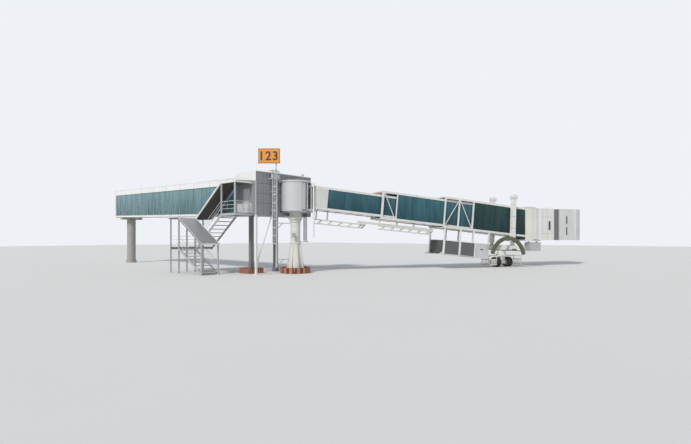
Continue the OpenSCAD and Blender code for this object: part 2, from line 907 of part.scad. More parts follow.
b_tail = 930;
b_pitch = (b_l - b_tail - 160) / 6;
unit_x0 = 105;
unit_bay = 1065;
module tunnel_b_frame() {
  x0 = b_x0;
  color("#e3e1d8")
    at_tunnel() {
      tunnel_core(b_hw, b_z0, b_z1, x0, b_l, tun_wall);
      tunnel_posts(b_hw, b_z0, b_z1, [x0 + 55], 110, tun_wall);
      tunnel_posts(b_hw, b_z0, b_z1, [x0 + b_tail - 25], 50, tun_wall);
      tunnel_posts(b_hw - post_back, b_z0, b_z1, [for (i = [1:6]) x0 + b_tail + 10 + i * b_pitch],
        30, tun_wall - post_back);
      for (s = [-1, 1])
        bar([x0 + 130, s * (b_hw - 22), b_z1 - chord_h + 4],
          [x0 + b_tail - 110, s * (b_hw - 22), b_z0 + chord_h - 4], 34);
      for (s = [-1, 1])
        for (x = [x0 + 120, x0 + 700])
          translate([x, s * 380 - 40, b_z0 + deck_t])
            cube([90, 80, -b_z0 - deck_t - 0.3]);
    }
}

module tunnel_b_glass() {
  color("#4a7a86")
    at_tunnel()
      for (s = [-1, 1])
        translate([b_x0 + b_tail, s * (b_hw - 26 - glass_t / 2) - glass_t / 2, b_z0 + chord_h])
          cube([b_l - b_tail - 30, glass_t, b_z1 - b_z0 - 2 * chord_h]);
}

module boom_b() {
  y = -400;
  color("#e8e8e4")
    at_tunnel() {
      boom(b_x0 + 40, boom_b_l, y, -boom_b_drop - boom_depth + 20, -boom_b_drop, 6);
      translate([b_x0 - 1200, y - 45, 20 - boom_b_drop])
        cube([c_x0 - b_x0 + 770, 90, 110]);
      for (x = [b_x0 + 80, b_x0 + 1100, b_x0 + 2150])
        for (s = [-1, 1])
          translate([x - 15, y - 15 + s * 55, 10 - boom_b_drop])
            cube([30, 30, b_z0 + boom_b_drop - 10]);
    }
}

// slanted brace trimmed to the panel between two posts and two chords
module brace(xa, xb, y, z0, z1) {
  g = post_gap;
  intersection() {
    bar([xa, y, z0], [xb, y, z1], 34);
    translate([min(xa, xb) + g, y - 20, z0 + g])
      cube([abs(xb - xa) - 2 * g, 40, z1 - z0 - 2 * g]);
  }
}

module tunnel_c_frame() {
  x0 = c_x0;
  color("#e6e5de")
    at_tunnel() {
      tunnel_core(c_hw, c_z0, c_z1, x0, c_l, tun_wall);
      tunnel_posts(c_hw, c_z0, c_z1, [x0 + 45, x0 + 980, x0 + 1950], 80, tun_wall, post_gap);
      tunnel_posts(c_hw - post_back, c_z0, c_z1, [x0 + 2850, x0 + 3750, x0 + 4600], 40, tun_wall - post_back, post_gap);
      tunnel_posts(c_hw, c_z0, c_z1, [x0 + c_l - 20], 40, tun_wall, post_gap);
      for (s = [-1, 1]) {
        brace(x0 + 85, x0 + 940, s * (c_hw - 20), c_z0 + chord_h, c_z1 - chord_h);
        brace(x0 + 1910, x0 + 1020, s * (c_hw - 20), c_z0 + chord_h, c_z1 - chord_h);
      }
      for (s = [-1, 1])
        for (x = [x0 + 120, x0 + 900])
          translate([x, s * 480 - 40, c_z0 + deck_t])
            cube([90, 80, b_z0 - c_z0 - deck_t - 0.3]);
    }
}

module tunnel_c_glass() {
  color("#3d6a70")
    at_tunnel()
      for (s = [-1, 1])
        translate([c_x0 + 1990, s * (c_hw - 26 - glass_t / 2) - glass_t / 2, c_z0 + chord_h])
          cube([c_l - 2030, glass_t, c_z1 - c_z0 - 2 * chord_h]);
}

// machine unit of two louvre boxes and one plain box
module service_unit() {
  zt = c_z0 - unit_drop;
  zb = zt - unit_h;
  x3 = unit_x0 + unit_l;
  hw = c_hw - 15;
  color("#dad9d4")
    at_tunnel()
      translate([c_x0, 0, 0]) {
        translate([unit_x0 + 70, -hw, zb + 20])
          cube([unit_bay - 70, 2 * hw, unit_h + 20]);
        translate([unit_x0 + unit_bay + 70, -hw, zb + 20])
          cube([unit_bay - 75, 2 * hw, unit_h + 20]);
        translate([unit_x0 + 2 * unit_bay - 5, -c_hw, zb])
          cube([unit_l - 2 * unit_bay + 5, 2 * c_hw, unit_h + 40]);
      }
}

// posts that carry the machine unit under the outer tunnel
module unit_posts() {
  zt = c_z0 - unit_drop;
  color("#dad9d4")
    at_tunnel()
      for (s = [-1, 1])
        translate([c_x0, s * (c_hw - 35) - 35, 0]) {
          for (x = [unit_x0, unit_x0 + unit_bay])
            translate([x, 0, zt - unit_h])
              cube([70, 70, unit_h + unit_drop]);
          for (x = [unit_x0 + 2 * unit_bay - 175, unit_x0 + unit_l - 70])
            translate([x, 0, zt + 40])
              cube([70, 70, unit_drop - 40]);
        }
}

// hollow outer columns and their brackets on the outer tunnel
module lift_outer() {
  w = lift_w;
  t = lift_t;
  z0 = pivot_z - lift_x * sin(slope);
  color("#efefec")
    for (s = [-1, 1])
      at_lift(s * col_y) {
        difference() {
          translate([-w / 2, -w / 2, lift_low])
            cube([w, w, lift_top - lift_low]);
          translate([-w / 2 + t, -w / 2 + t, lift_low - 1])
            cube([w - 2 * t, w - 2 * t, lift_top - lift_low - 39]);
        }
        translate([-w / 2 - 45, -w / 2 - 45, lift_top - 180])
          cube([w + 90, w + 90, 190]);
        for (z = [z0 + c_z0 * cos(slope), z0 + (c_z1 - chord_h) * cos(slope)])
          translate([-w / 2 + 20, s > 0 ? c_hw - col_y : w / 2 - 10, z])
            cube([w - 40, col_y - c_hw - w / 2 + 10, 110]);
      }
}

// sliding inner columns and the beam between them
module lift_inner() {
  w = lift_w - 2 * lift_t - 0.6;
  ww = lift_w - 2 * lift_t - 20;
  color("#3a3c3f")
    for (s = [-1, 1])
      at_lift(s * col_y) {
        translate([-ww / 2, -ww / 2, 1290])
          cube([ww, ww, 1900]);
        translate([-w / 2, -w / 2, 3050])
          cube([w, w, 140]);
      }
  color("#ecece8")
    at_lift() {
      translate([-190, -col_y - 170, 985])
        cube([380, 2 * col_y + 340, 310]);
      translate([0, 0, 860])
        rotate([0, -lift_lean, 0])
          cylinder(r = 260, h = 130);
    }
}

// arched hose carrier beside the near column
module hose_arch() {
  color("#5d6142")
    at_lift()
      translate([-485, -col_y - 230, 0]) {
        translate([0, 45, 544])
          rotate([90, 0, 0])
            rotate([0, 0, 12])
              rotate_extrude(angle = 156, $fn = 96)
                translate([arch_r - arch_t, 0])
                  square([arch_t, 90]);
        translate([-arch_r + 126, -43, 985])
          cube([2 * arch_r - 252, 86, 40]);
        translate([330, 42, 985])
          cube([300, 18, 120]);
      }
}

module at_bogie() {
  at_yaw()
    translate([lift_u + 895 * tan(lift_lean), 0, 0])
      children();
}

// steered frame with the wheel axle, guards and lugs
module bogie_frame() {
  color("#d6d6d2")
    at_bogie() {
      translate([0, 0, 640])
        cylinder(r = 250, h = 219);
      translate([-150, -330, 620])
        cube([300, 660, 160]);
      translate([-150, -130, 200])
        cube([300, 260, 430]);
      translate([-650, 0, wheel_r])
        rotate([0, 90, 0])
          cylinder(r = axle_r, h = 1300);
      for (s = [-1, 1]) {
        translate([-1240, s * 330 - 15, 640])
          cube([2480, 30, 50]);
        for (e = [-1, 1]) {
          for (z = [120, 430])
            translate([e * 940 - 300, s * 330 - 15, z])
              cube([600, 30, 50]);
          for (i = [0:6])
            translate([e * 940 - 300 + i * 96, s * 330 - 12, 124])
              cube([24, 24, i % 6 == 0 ? 540 : 330]);
        }
      }
      for (e = [-1, 1])
        for (z = [122, 432])
          translate([e * 1225 - 13, -340, z])
            cube([26, 680, 46]);
    }
}

module drive_wheel() {
  for (x = [-tyre_w - 15, 15])
    translate([x, 0, 0])
      rotate([0, 90, 0])
        difference() {
          cylinder(r = wheel_r, h = tyre_w, $fn = 96);
          translate([0, 0, -1])
            cylinder(r = axle_r + run_gap, h = tyre_w + 2);
        }
  rotate([0, 90, 0])
    translate([0, 0, -20])
      difference() {
        cylinder(r = 150, h = 40);
        translate([0, 0, -1])
          cylinder(r = axle_r + run_gap, h = 42);
      }
}

module wheel_left() {
  color("#232426")
    at_bogie()
      translate([-wheel_off, 0, wheel_r])
        drive_wheel();
}

module wheel_right() {
  color("#232426")
    at_bogie()
      translate([wheel_off, 0, wheel_r])
        drive_wheel();
}

module at_cab() {
  at_yaw()
    translate([cab_u, 0, cab_z])
      children();
}

// round platform and rounded side walls at the end of the outer tunnel
module cab_collar() {
  color("#e2dfd2") {
    at_cab() {
      translate([0, 0, -60])
        cylinder(r = cab_r, h = 60, $fn = 96);
      for (s = [0, 1])
        mirror([0, s, 0])
          arc_wall(cab_r, 20, cab_h, 96, 124);
      translate([0, 0, cab_h])
        intersection() {
          cylinder(r = cab_r + 20, h = 50, $fn = 96);
          translate([-560, -cab_r - 30, -1])
            cube([580, 2 * cab_r + 60, 52]);
        }
      for (s = [-1, 1])
        translate([-560, s > 0 ? c_hw : -c_hw - 75, -60])
          cube([20, 75, cab_h + 62]);
    }
    at_tunnel()
      translate([c_x0 + c_l, 0, 0]) {
        for (s = [-1, 1])
          translate([0, s * (c_hw - 35) - 35, c_z0 - 255])
            cube([60, 70, c_z1 - c_z0 + 315]);
        translate([2, -c_hw + 2, c_z1 - 40])
          cube([56, 2 * c_hw - 4, 98]);
      }
  }
}

module cab_locker() {
  color("#b9bcbe")
    at_yaw()
      translate([cab_u - 320, -cab_r + 60, cab_z - 640]) {
        cube([820, 480, 520]);
        for (x = [60, 680])
          translate([x, 200, 510])
            cube([60, 60, 69.7]);
      }
}

// turning cab body
module cab_shell() {
  w = cab_w;
  color("#dddcd6")
    at_cab() {
      translate([0, 0, 6])
        cylinder(r = table_r, h = 50, $fn = 96);
      translate([0, 0, seat_gap])
        cylinder(r = 220, h = 20);
      difference() {
        translate([60, -w / 2, 6])
          cube([cab_l - 60, w, cab_h - 20]);
        translate([0, -w / 2 + 50, 56])
          cube([cab_l + 10, w - 100, cab_h - 120]);
        for (s = [-1, 1])
          translate([1160, s * w / 2 - 60, 640])
            cube([140, 120, 520]);
      }
      for (s = [0, 1])
        mirror([0, s, 0])
          translate([0, 0, 60])
            arc_wall(cab_r - 30, 20, cab_h - 80, 66, 108);
    }
}

module cab_bellows() {
  color("#8b8d8f")
    at_cab()
      translate([cab_l, 0, 40])
        for (i = [0:4])
          translate([i * 80, 0, 0])
            difference() {
              translate([i == 0 ? 0 : -2, -cab_w / 2 + (i % 2) * 25, 0])
                cube([i == 0 ? 80 : 82, cab_w - (i % 2) * 50, cab_h - 90]);
              translate([-3, -cab_w / 2 + 75, 60])
                cube([84, cab_w - 150, cab_h - 210]);
            }
}

// rounded outer section of the cab
module cab_nose() {
  x0 = cab_l + 400;
  color("#d3d4d2")
    at_cab()
      translate([x0, 0, 0])
        difference() {
          nose_body(cab_w / 2 + 40, 0, cab_h - 20, nose_l);
          translate([-1, 0, 60])
            nose_body(cab_w / 2 - 10, 0, cab_h - 140, nose_l + 60);
          for (z = [330, 1020])
            translate([560, -cab_w / 2 - 60, z])
              cube([110, 130, 480]);
        }
}

module nose_body(hw, z, h, l) {
  translate([0, 0, z])
    linear_extrude(height = h)
      polygon([[0, -hw], [l * 0.62, -hw], [l * 0.85, -hw * 0.93], [l * 0.97, -hw * 0.8], [l, -hw * 0.6],
        [l, hw * 0.6], [l * 0.97, hw * 0.8], [l * 0.85, hw * 0.93], [l * 0.62, hw], [0, hw]]);
}

corridor_frame();
corridor_glass();
corridor_pier();
box_shell();
box_wedge();
box_legs();
slim_post();
landing_door();
stair_frame();
stair_treads();
stair_roof();
stair_rails();
ladder();
sign_mast();
rotunda_column();
base_guard();
rotunda_cap();
rotunda_wall();
turn_frame();
turn_curtain();
conduit();
cable_drop();
cable_tray();
tunnel_a_frame();
pitch_lugs();
tunnel_a_glass();
boom_a();
tunnel_b_frame();
tunnel_b_glass();
boom_b();
tunnel_c_frame();
tunnel_c_glass();
unit_posts();
service_unit();
lift_outer();
cab_collar();
cab_locker();
lift_inner();
hose_arch();
bogie_frame();
wheel_left();
wheel_right();
cab_shell();
cab_bellows();
cab_nose();
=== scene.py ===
"""Dressed scene of a telescoping boarding bridge, modelled at half size.

Lengths are metres of the model. Pieces are laid out in world coordinates by
4 by 4 matrices, so that every object stays at the origin.
"""

import logging
import math
from dataclasses import dataclass
from enum import Enum
from functools import partial
from typing import Optional, Sequence

import bmesh
import bpy
import numpy as np
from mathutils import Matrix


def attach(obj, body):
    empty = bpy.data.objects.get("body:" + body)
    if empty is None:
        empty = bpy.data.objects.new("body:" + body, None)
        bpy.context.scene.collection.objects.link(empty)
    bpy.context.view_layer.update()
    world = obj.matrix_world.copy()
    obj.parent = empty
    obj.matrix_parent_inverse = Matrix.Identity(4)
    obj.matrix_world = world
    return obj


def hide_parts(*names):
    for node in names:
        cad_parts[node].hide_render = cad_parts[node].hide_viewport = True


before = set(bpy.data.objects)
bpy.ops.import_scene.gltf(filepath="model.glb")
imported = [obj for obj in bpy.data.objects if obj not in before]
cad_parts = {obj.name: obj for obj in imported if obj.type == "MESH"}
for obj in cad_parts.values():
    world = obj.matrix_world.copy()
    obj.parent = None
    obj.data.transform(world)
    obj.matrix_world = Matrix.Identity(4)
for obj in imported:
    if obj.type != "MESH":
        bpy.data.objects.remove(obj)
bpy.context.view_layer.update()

log = logging.getLogger("bridge")
Array = np.ndarray
Piece = bpy.types.Object
Tree = bpy.types.NodeTree
Socket = bpy.types.NodeSocket
Rgb = tuple[float, float, float]


# ---- placement


@dataclass(frozen=True)
class Layout:
    """Placement values shared with the solids, in metres and degrees."""

    yaw: float = 26.0
    slope: float = 5.14
    ramp: float = 1.35
    lean: float = 2.0
    pivot_u: float = 0.78
    pivot_z: float = 3.205
    lift_x: float = 12.19
    beam_z: float = 0.895
    cab_u: float = 14.625794
    cab_z: float = 1.600307
    unit_x: float = 7.53
    box_left: float = 2.15
    box_front: float = 0.37
    box_z: float = 2.86
    box_w: float = 3.565
    box_d: float = 1.605
    box_h: float = 2.075
    corridor_z: float = 2.855
    corridor_w: float = 1.4
    corridor_h: float = 1.885
    corridor_l: float = 14.675

    def turn(self, axis: str, degrees: float) -> Array:
        """Return a 4 by 4 turn about the axis x, y or z, by the right-hand rule."""
        a = math.radians(degrees)
        c, s = math.cos(a), math.sin(a)
        m = np.eye(4)
        i, j = {"x": (1, 2), "y": (2, 0), "z": (0, 1)}[axis]
        m[i, i], m[i, j], m[j, i], m[j, j] = c, -s, s, c
        return m

    def move(self, x: float, y: float, z: float) -> Array:
        """Return a 4 by 4 shift by x, y and z."""
        m = np.eye(4)
        m[:3, 3] = (x, y, z)
        return m

    @property
    def level(self) -> Array:
        """Frame of the tunnels' heading, level with the ground."""
        return self.turn("z", -self.yaw)

    @property
    def tunnel(self) -> Array:
        """Frame that slopes with the tunnels, from the pitch hinge."""
        return self.level @ self.move(self.pivot_u, 0, self.pivot_z) @ self.turn("y", self.slope)

    @property
    def unit(self) -> Array:
        """Frame of the machine unit, at the start of the outer tunnel."""
        return self.tunnel @ self.move(self.unit_x, 0, 0)

    @property
    def corridor(self) -> Array:
        """Frame that rises with the fixed corridor."""
        y = self.box_front + self.box_d
        return self.move(-self.box_left, y, self.corridor_z) @ self.turn("x", self.ramp)

    @property
    def box(self) -> Array:
        """Frame at the low, left, front corner of the junction box."""
        return self.move(-self.box_left, self.box_front, self.box_z)

    @property
    def lift_u(self) -> float:
        """Level distance of the lift from the rotunda's centre."""
        return self.pivot_u + self.lift_x * math.cos(math.radians(self.slope))

    @property
    def lift(self) -> Array:
        """Frame that leans with the lift columns."""
        return self.level @ self.move(self.lift_u, 0, 0) @ self.turn("y", self.lean)

    @property
    def bogie(self) -> Array:
        """Level frame on the ground under the lift beam."""
        u = self.lift_u + self.beam_z * math.tan(math.radians(self.lean))
        return self.level @ self.move(u, 0, 0)

    @property
    def sign(self) -> Array:
        """Frame of the stand number panel, with its face towards -Y."""
        return self.move(-1.152, 0.107, 5.37) @ self.turn("z", -48)

    @property
    def cab(self) -> Array:
        """Level frame at the cab hinge."""
        return self.level @ self.move(self.cab_u, 0, self.cab_z)


LAY = Layout()
WORLD = np.eye(4)
TUNNEL_UP = tuple(float(v) for v in LAY.tunnel[:3, 2])
TUNNEL_FOOT = float(LAY.tunnel[:3, 2] @ LAY.tunnel[:3, 3])


class Body(str, Enum):
    """Bodies that carry pieces of the scene, by the names in the record."""

    FIXED = "fixed_side"
    TURN = "rotunda_turntable"
    INNER = "inner_tunnel"
    MIDDLE = "middle_tunnel"
    OUTER = "outer_tunnel"
    LIFT = "lift_slide"
    WHEEL_L = "wheel_pair_left"
    WHEEL_R = "wheel_pair_right"
    CAB = "cab"


# ---- mesh work

BLOCK_FACES = np.array([[0, 2, 3, 1], [4, 5, 7, 6], [0, 1, 5, 4], [2, 6, 7, 3], [0, 4, 6, 2], [1, 3, 7, 5]])
BAR_FACES = np.array([[0, 1, 3, 2], [4, 6, 7, 5], [0, 4, 5, 1], [2, 3, 7, 6], [0, 2, 6, 4], [1, 5, 7, 3]])
MERGE = 1e-6
AXIS_R = 0.0005


def carry(points: Array, place: Array) -> Array:
    """Carry points of shape (..., 3) by a 4 by 4 matrix: p' = M p."""
    return points @ place[:3, :3].T + place[:3, 3]


def both(rows: Sequence, y: float) -> Array:
    """Set rows of (x0, y0, z0, x1, y1, z1) on both sides: y' = y0 -/+ y."""
    shift = np.array([0, y, 0, 0, y, 0])
    rows = np.asarray(rows, float).reshape(-1, 6)
    return np.vstack([rows - shift, rows + shift])


def link_piece(name: str, data: bpy.types.ID) -> Piece:
    """Put a mesh or curve into a new object at the origin of the scene."""
    piece = bpy.data.objects.new(name, data)
    bpy.context.scene.collection.objects.link(piece)
    return piece


def mesh_piece(name: str, verts: Array, faces: Array, place: Array = WORLD, smooth: bool = False) -> Piece:
    """Put vertices and quads into a new object.

    Args:
        name: Name of the piece.
        verts: Vertices, shape (..., 3).
        faces: Vertex numbers, shape (..., 4).
        place: Matrix that carries the vertices into place.
        smooth: Whether the faces shade smooth.

    Returns:
        The new object, linked to the scene.
    """
    mesh = bpy.data.meshes.new(name)
    starts = np.arange(0, faces.size, 4, dtype=np.int32)
    mesh.vertices.add(verts.size // 3)
    mesh.vertices.foreach_set("co", carry(verts, place).astype(np.float32).ravel())
    mesh.loops.add(faces.size)
    mesh.loops.foreach_set("vertex_index", faces.astype(np.int32).ravel())
    mesh.polygons.add(len(starts))
    mesh.polygons.foreach_set("loop_start", starts)
    mesh.polygons.foreach_set("use_smooth", np.full(len(starts), smooth))
    mesh.update(calc_edges=True)
    mesh.validate()
    return link_piece(name, mesh)


def face_out(piece: Piece) -> Piece:
    """Merge doubles and turn every face of a closed piece outwards."""
    bm = bmesh.new()
    bm.from_mesh(piece.data)
    bmesh.ops.remove_doubles(bm, verts=bm.verts, dist=MERGE)
    bmesh.ops.recalc_face_normals(bm, faces=bm.faces)
    bm.to_mesh(piece.data)
    bm.free()
    return piece


def crease(piece: Piece, degrees: float) -> Piece:
    """Shade a piece smooth but keep edges sharper than an angle."""
    piece.data.set_sharp_from_angle(angle=math.radians(degrees))
    return piece


def bevel(piece: Piece, width: float) -> Piece:
    """Round the edges of a piece with a Bevel modifier."""
    mod = piece.modifiers.new("rounding", "BEVEL")
    mod.width = width
    mod.segments = 2
    mod.limit_method = "ANGLE"
    mod.angle_limit = math.radians(40)
    return piece


def blocks(name: str, spans: Sequence, place: Array = WORLD, shrink: float = 1.0) -> Piece:
    """Make a piece from upright blocks: corner = low + bit * (high - low).

    Args:
        name: Name of the piece.
        spans: Rows of (x0, y0, z0, x1, y1, z1).
        place: Matrix that carries the blocks into place.
        shrink: Width of each block's lower end over that of its upper one.

    Returns:
        The new piece, faces outwards.
    """
    rows = np.asarray(spans, float).reshape(-1, 6)
    low, high = np.minimum(rows[:, :3], rows[:, 3:]), np.maximum(rows[:, :3], rows[:, 3:])
    bits = np.array([[x, y, z] for z in (0, 1) for y in (0, 1) for x in (0, 1)], float)
    corners = low[:, None] + bits * (high - low)[:, None]
    if shrink != 1.0:
        middle = corners[:, :, :2].mean(1, keepdims=True)
        corners[:, :4, :2] = middle + shrink * (corners[:, :4, :2] - middle)
    faces = BLOCK_FACES + 8 * np.arange(len(rows))[:, None, None]
    return mesh_piece(name, corners, faces, place)


def bars(name: str, lines: Sequence, width: float, depth: float, place: Array = WORLD) -> Piece:
    """Make a piece from square bars: corner = end point +/- w/2 side +/- d/2 up.

    Args:
        name: Name of the piece.
        lines: Rows of (x0, y0, z0, x1, y1, z1), from end to end.
        width: Width of each bar.
        depth: Depth of each bar.
        place: Matrix that carries the bars into place.

    Returns:
        The new piece, faces outwards.
    """
    rows = np.asarray(lines, float).reshape(-1, 6)
    p, q = rows[:, :3], rows[:, 3:]
    run = (q - p) / np.linalg.norm(q - p, axis=1, keepdims=True)
    ref = np.where(np.abs(run[:, 2:3]) > 0.9, [[1.0, 0, 0]], [[0, 0, 1.0]])
    side = np.cross(run, ref)
    side /= np.linalg.norm(side, axis=1, keepdims=True)
    up = np.cross(side, run)
    corners = np.array([[-1, -1], [1, -1], [-1, 1], [1, 1]], float) * 0.5
    ring = side[:, None] * corners[None, :, :1] * width + up[:, None] * corners[None, :, 1:] * depth
    verts = np.concatenate([p[:, None] + ring, q[:, None] + ring], axis=1)
    faces = BAR_FACES + 8 * np.arange(len(p))[:, None, None]
    return face_out(mesh_piece(name, verts, faces, place))


def grid_faces(nu: int, nv: int, wrap_u: bool) -> Array:
    """Number the quads of a grid of nu by nv points that closes the second way.

    Args:
        nu: Points along the first way.
        nv: Points round the second way.
        wrap_u: Whether the first way closes on itself too.

    Returns:
        Quads, shape (m, 4).
    """
    i = np.arange(nu if wrap_u else nu - 1)[:, None]
    j = np.arange(nv)[None, :]
    i2, j2 = (i + 1) % nu, (j + 1) % nv
    corners = (i * nv + j, i2 * nv + j, i2 * nv + j2, i * nv + j2)
    return np.stack(np.broadcast_arrays(*corners), axis=-1).reshape(-1, 4)


def lathe(name: str, profile: Sequence, steps: int = 64, place: Array = WORLD, arc: Optional[tuple] = None) -> Piece:
    """Turn a closed (radius, height) profile about Z: (r cos a, r sin a, z).

    Args:
        name: Name of the piece.
        profile: Rows of radius and height, round the section, four of them for an arc.
        steps: Points round the circle or along the arc.
        place: Matrix that carries the shape into place.
        arc: First and last angle in degrees of a wall with flat ends, none for a full turn.

    Returns:
        The new piece, faces outwards.
    """
    r, z = np.asarray(profile, float).T[:, None]
    a = np.linspace(0, 2 * np.pi, steps, endpoint=False)
    faces = grid_faces(steps, len(profile), arc is None)
    if arc:
        a = np.radians(arc[0] + (arc[1] - arc[0]) * np.linspace(0, 1, steps))
        faces = np.vstack([faces, [[3, 2, 1, 0]], 4 * steps - 4 + np.arange(4)[None]])
    pts = np.stack(np.broadcast_arrays(r * np.cos(a)[:, None], r * np.sin(a)[:, None], z), axis=-1)
    return crease(face_out(mesh_piece(name, pts, faces, place, smooth=True)), 35)


def tube(name: str, path: Sequence, radius: float, sides: int = 12) -> Piece:
    """Carry a circle along a path: p(s) + r (cos a side + sin a up).

    Args:
        name: Name of the piece.
        path: Points of the path.
        radius: Radius of the tube.
        sides: Points round the circle.

    Returns:
        The new piece with closed ends.
    """
    pts = np.asarray(path, float)
    run = np.gradient(pts, axis=0)
    run /= np.linalg.norm(run, axis=1, keepdims=True)
    side = np.cross(run, [0.12, 0.95, 0.27])
    side /= np.linalg.norm(side, axis=1, keepdims=True)
    up = np.cross(side, run)
    a = np.linspace(0, 2 * np.pi, sides, endpoint=False)[None, :, None]
    ring = pts[:, None] + radius * (side[:, None] * np.cos(a) + up[:, None] * np.sin(a))
    n, k = len(pts), np.arange(sides)
    after, last = (k + 1) % sides, (n - 1) * sides
    start = np.stack([np.full(sides, n * sides), after, k], -1)
    end = np.stack([np.full(sides, n * sides + 1), last + k, last + after], -1)
    faces = grid_faces(n, sides, False).tolist() + start.tolist() + end.tolist()
    mesh = bpy.data.meshes.new(name)
    mesh.from_pydata(np.vstack([ring.reshape(-1, 3), pts[:1], pts[-1:]]).tolist(), [], faces)
    mesh.polygons.foreach_set("use_smooth", np.full(len(faces), True))
    return crease(face_out(link_piece(name, mesh)), 50)


def join(name: str, pieces: Sequence[Piece]) -> Piece:
    """Merge turned pieces of one finish into one mesh object.

    Args:
        name: Name of the merged piece.
        pieces: Pieces of quads only, whose modifiers are not yet set.

    Returns:
        The merged piece.
    """
    verts, faces, base = [], [], 0
    for piece in pieces:
        data = piece.data
        co, quads = np.zeros((len(data.vertices), 3), np.float32), np.zeros((len(data.polygons), 4), np.int32)
        data.vertices.foreach_get("co", co.ravel())
        data.loops.foreach_get("vertex_index", quads.ravel())
        verts.append(co)
        faces.append(quads + base)
        base += len(co)
        bpy.data.objects.remove(piece)
    return crease(mesh_piece(name, np.vstack(verts), np.vstack(faces), smooth=True), 35)


# ---- finishes

GLASS_ROUGHNESS = 0.06
GLASS_IOR = 1.33
BUMP_DISTANCE = 0.004


def feed(node: bpy.types.Node, values: dict) -> None:
    """Link sockets to a node's inputs, or set the inputs' own values, by name or number."""
    for key, value in values.items():
        if isinstance(value, Socket):
            node.id_data.links.new(value, node.inputs[key])
        else:
            node.inputs[key].default_value = value


def add_node(tree: Tree, kind: str, values: dict, **settings: object) -> bpy.types.Node:
    """Add a shader node.

    Args:
        tree: Tree that gets the node.
        kind: Type of the node, without ShaderNode.
        values: Sockets or values of its inputs, as in feed().
        settings: Properties of the node.

    Returns:
        The new node.
    """
    node = tree.nodes.new(f"ShaderNode{kind}")
    for key, value in settings.items():
        setattr(node, key, value)
    feed(node, values)
    return node


def group_tree(name: str, inputs: Sequence[tuple[str, str, object]]) -> tuple:
    """Start a shader node group that gives a colour, a roughness and a height.

    Args:
        name: Name of the group.
        inputs: Name, socket type and default of each input.

    Returns:
        The tree, the outputs of its input node and its output node.
    """
    tree = bpy.data.node_groups.new(name, "ShaderNodeTree")
    for label, kind, value in inputs:
        sock = tree.interface.new_socket(label, in_out="INPUT", socket_type=f"NodeSocket{kind}")
        sock.default_value = value
    for label, kind in (("Color", "Color"), ("Roughness", "Float"), ("Height", "Float")):
        tree.interface.new_socket(label, in_out="OUTPUT", socket_type=f"NodeSocket{kind}")
    return tree, tree.nodes.new("NodeGroupInput").outputs, tree.nodes.new("NodeGroupOutput")


def noise_node(tree: Tree, vector: Socket, scale: float, detail: float) -> Socket:
    """Add a noise texture over coordinates and return its value."""
    return add_node(tree, "TexNoise", {"Vector": vector, "Scale": scale, "Detail": detail}).outputs["Fac"]


def stretch(tree: Tree, vector: Socket, scale: tuple) -> Socket:
    """Scale coordinates by three factors."""
    return add_node(tree, "Mapping", {"Vector": vector, "Scale": scale}).outputs["Vector"]


def ramp_node(tree: Tree, value: Socket, low: float, high: float) -> Socket:
    """Map a value from low..high to 0..1, clamped."""
    return add_node(tree, "MapRange", {"Value": value, "From Min": low, "From Max": high}).outputs["Result"]


def math_node(tree: Tree, kind: str, a: object, b: object = 0.0) -> Socket:
    """Add a math node over numbers or sockets and return its result."""
    return add_node(tree, "Math", {0: a, 1: b}, operation=kind).outputs[0]


def mix_node(tree: Tree, factor: object, a: object, b: object) -> Socket:
    """Mix two colours, given as (r, g, b) or sockets, and return the result."""
    a, b = (v if isinstance(v, Socket) else (*v, 1.0) for v in (a, b))
    return add_node(tree, "Mix", {0: factor, 6: a, 7: b}, data_type="RGBA").outputs[2]


def new_material(name: str, color: Rgb) -> tuple:
    """Start a material.

    Args:
        name: Name of the material.
        color: Colour that stands for it without its nodes.

    Returns:
        The material, its tree, its shader node and the Object coordinates.
    """
    mat = bpy.data.materials.new(name)
    mat.use_nodes = True
    mat.diffuse_color = (*color, 1)
    tree = mat.node_tree
    coord = tree.nodes.new("ShaderNodeTexCoord").outputs["Object"]
    return mat, tree, tree.nodes["Principled BSDF"], coord


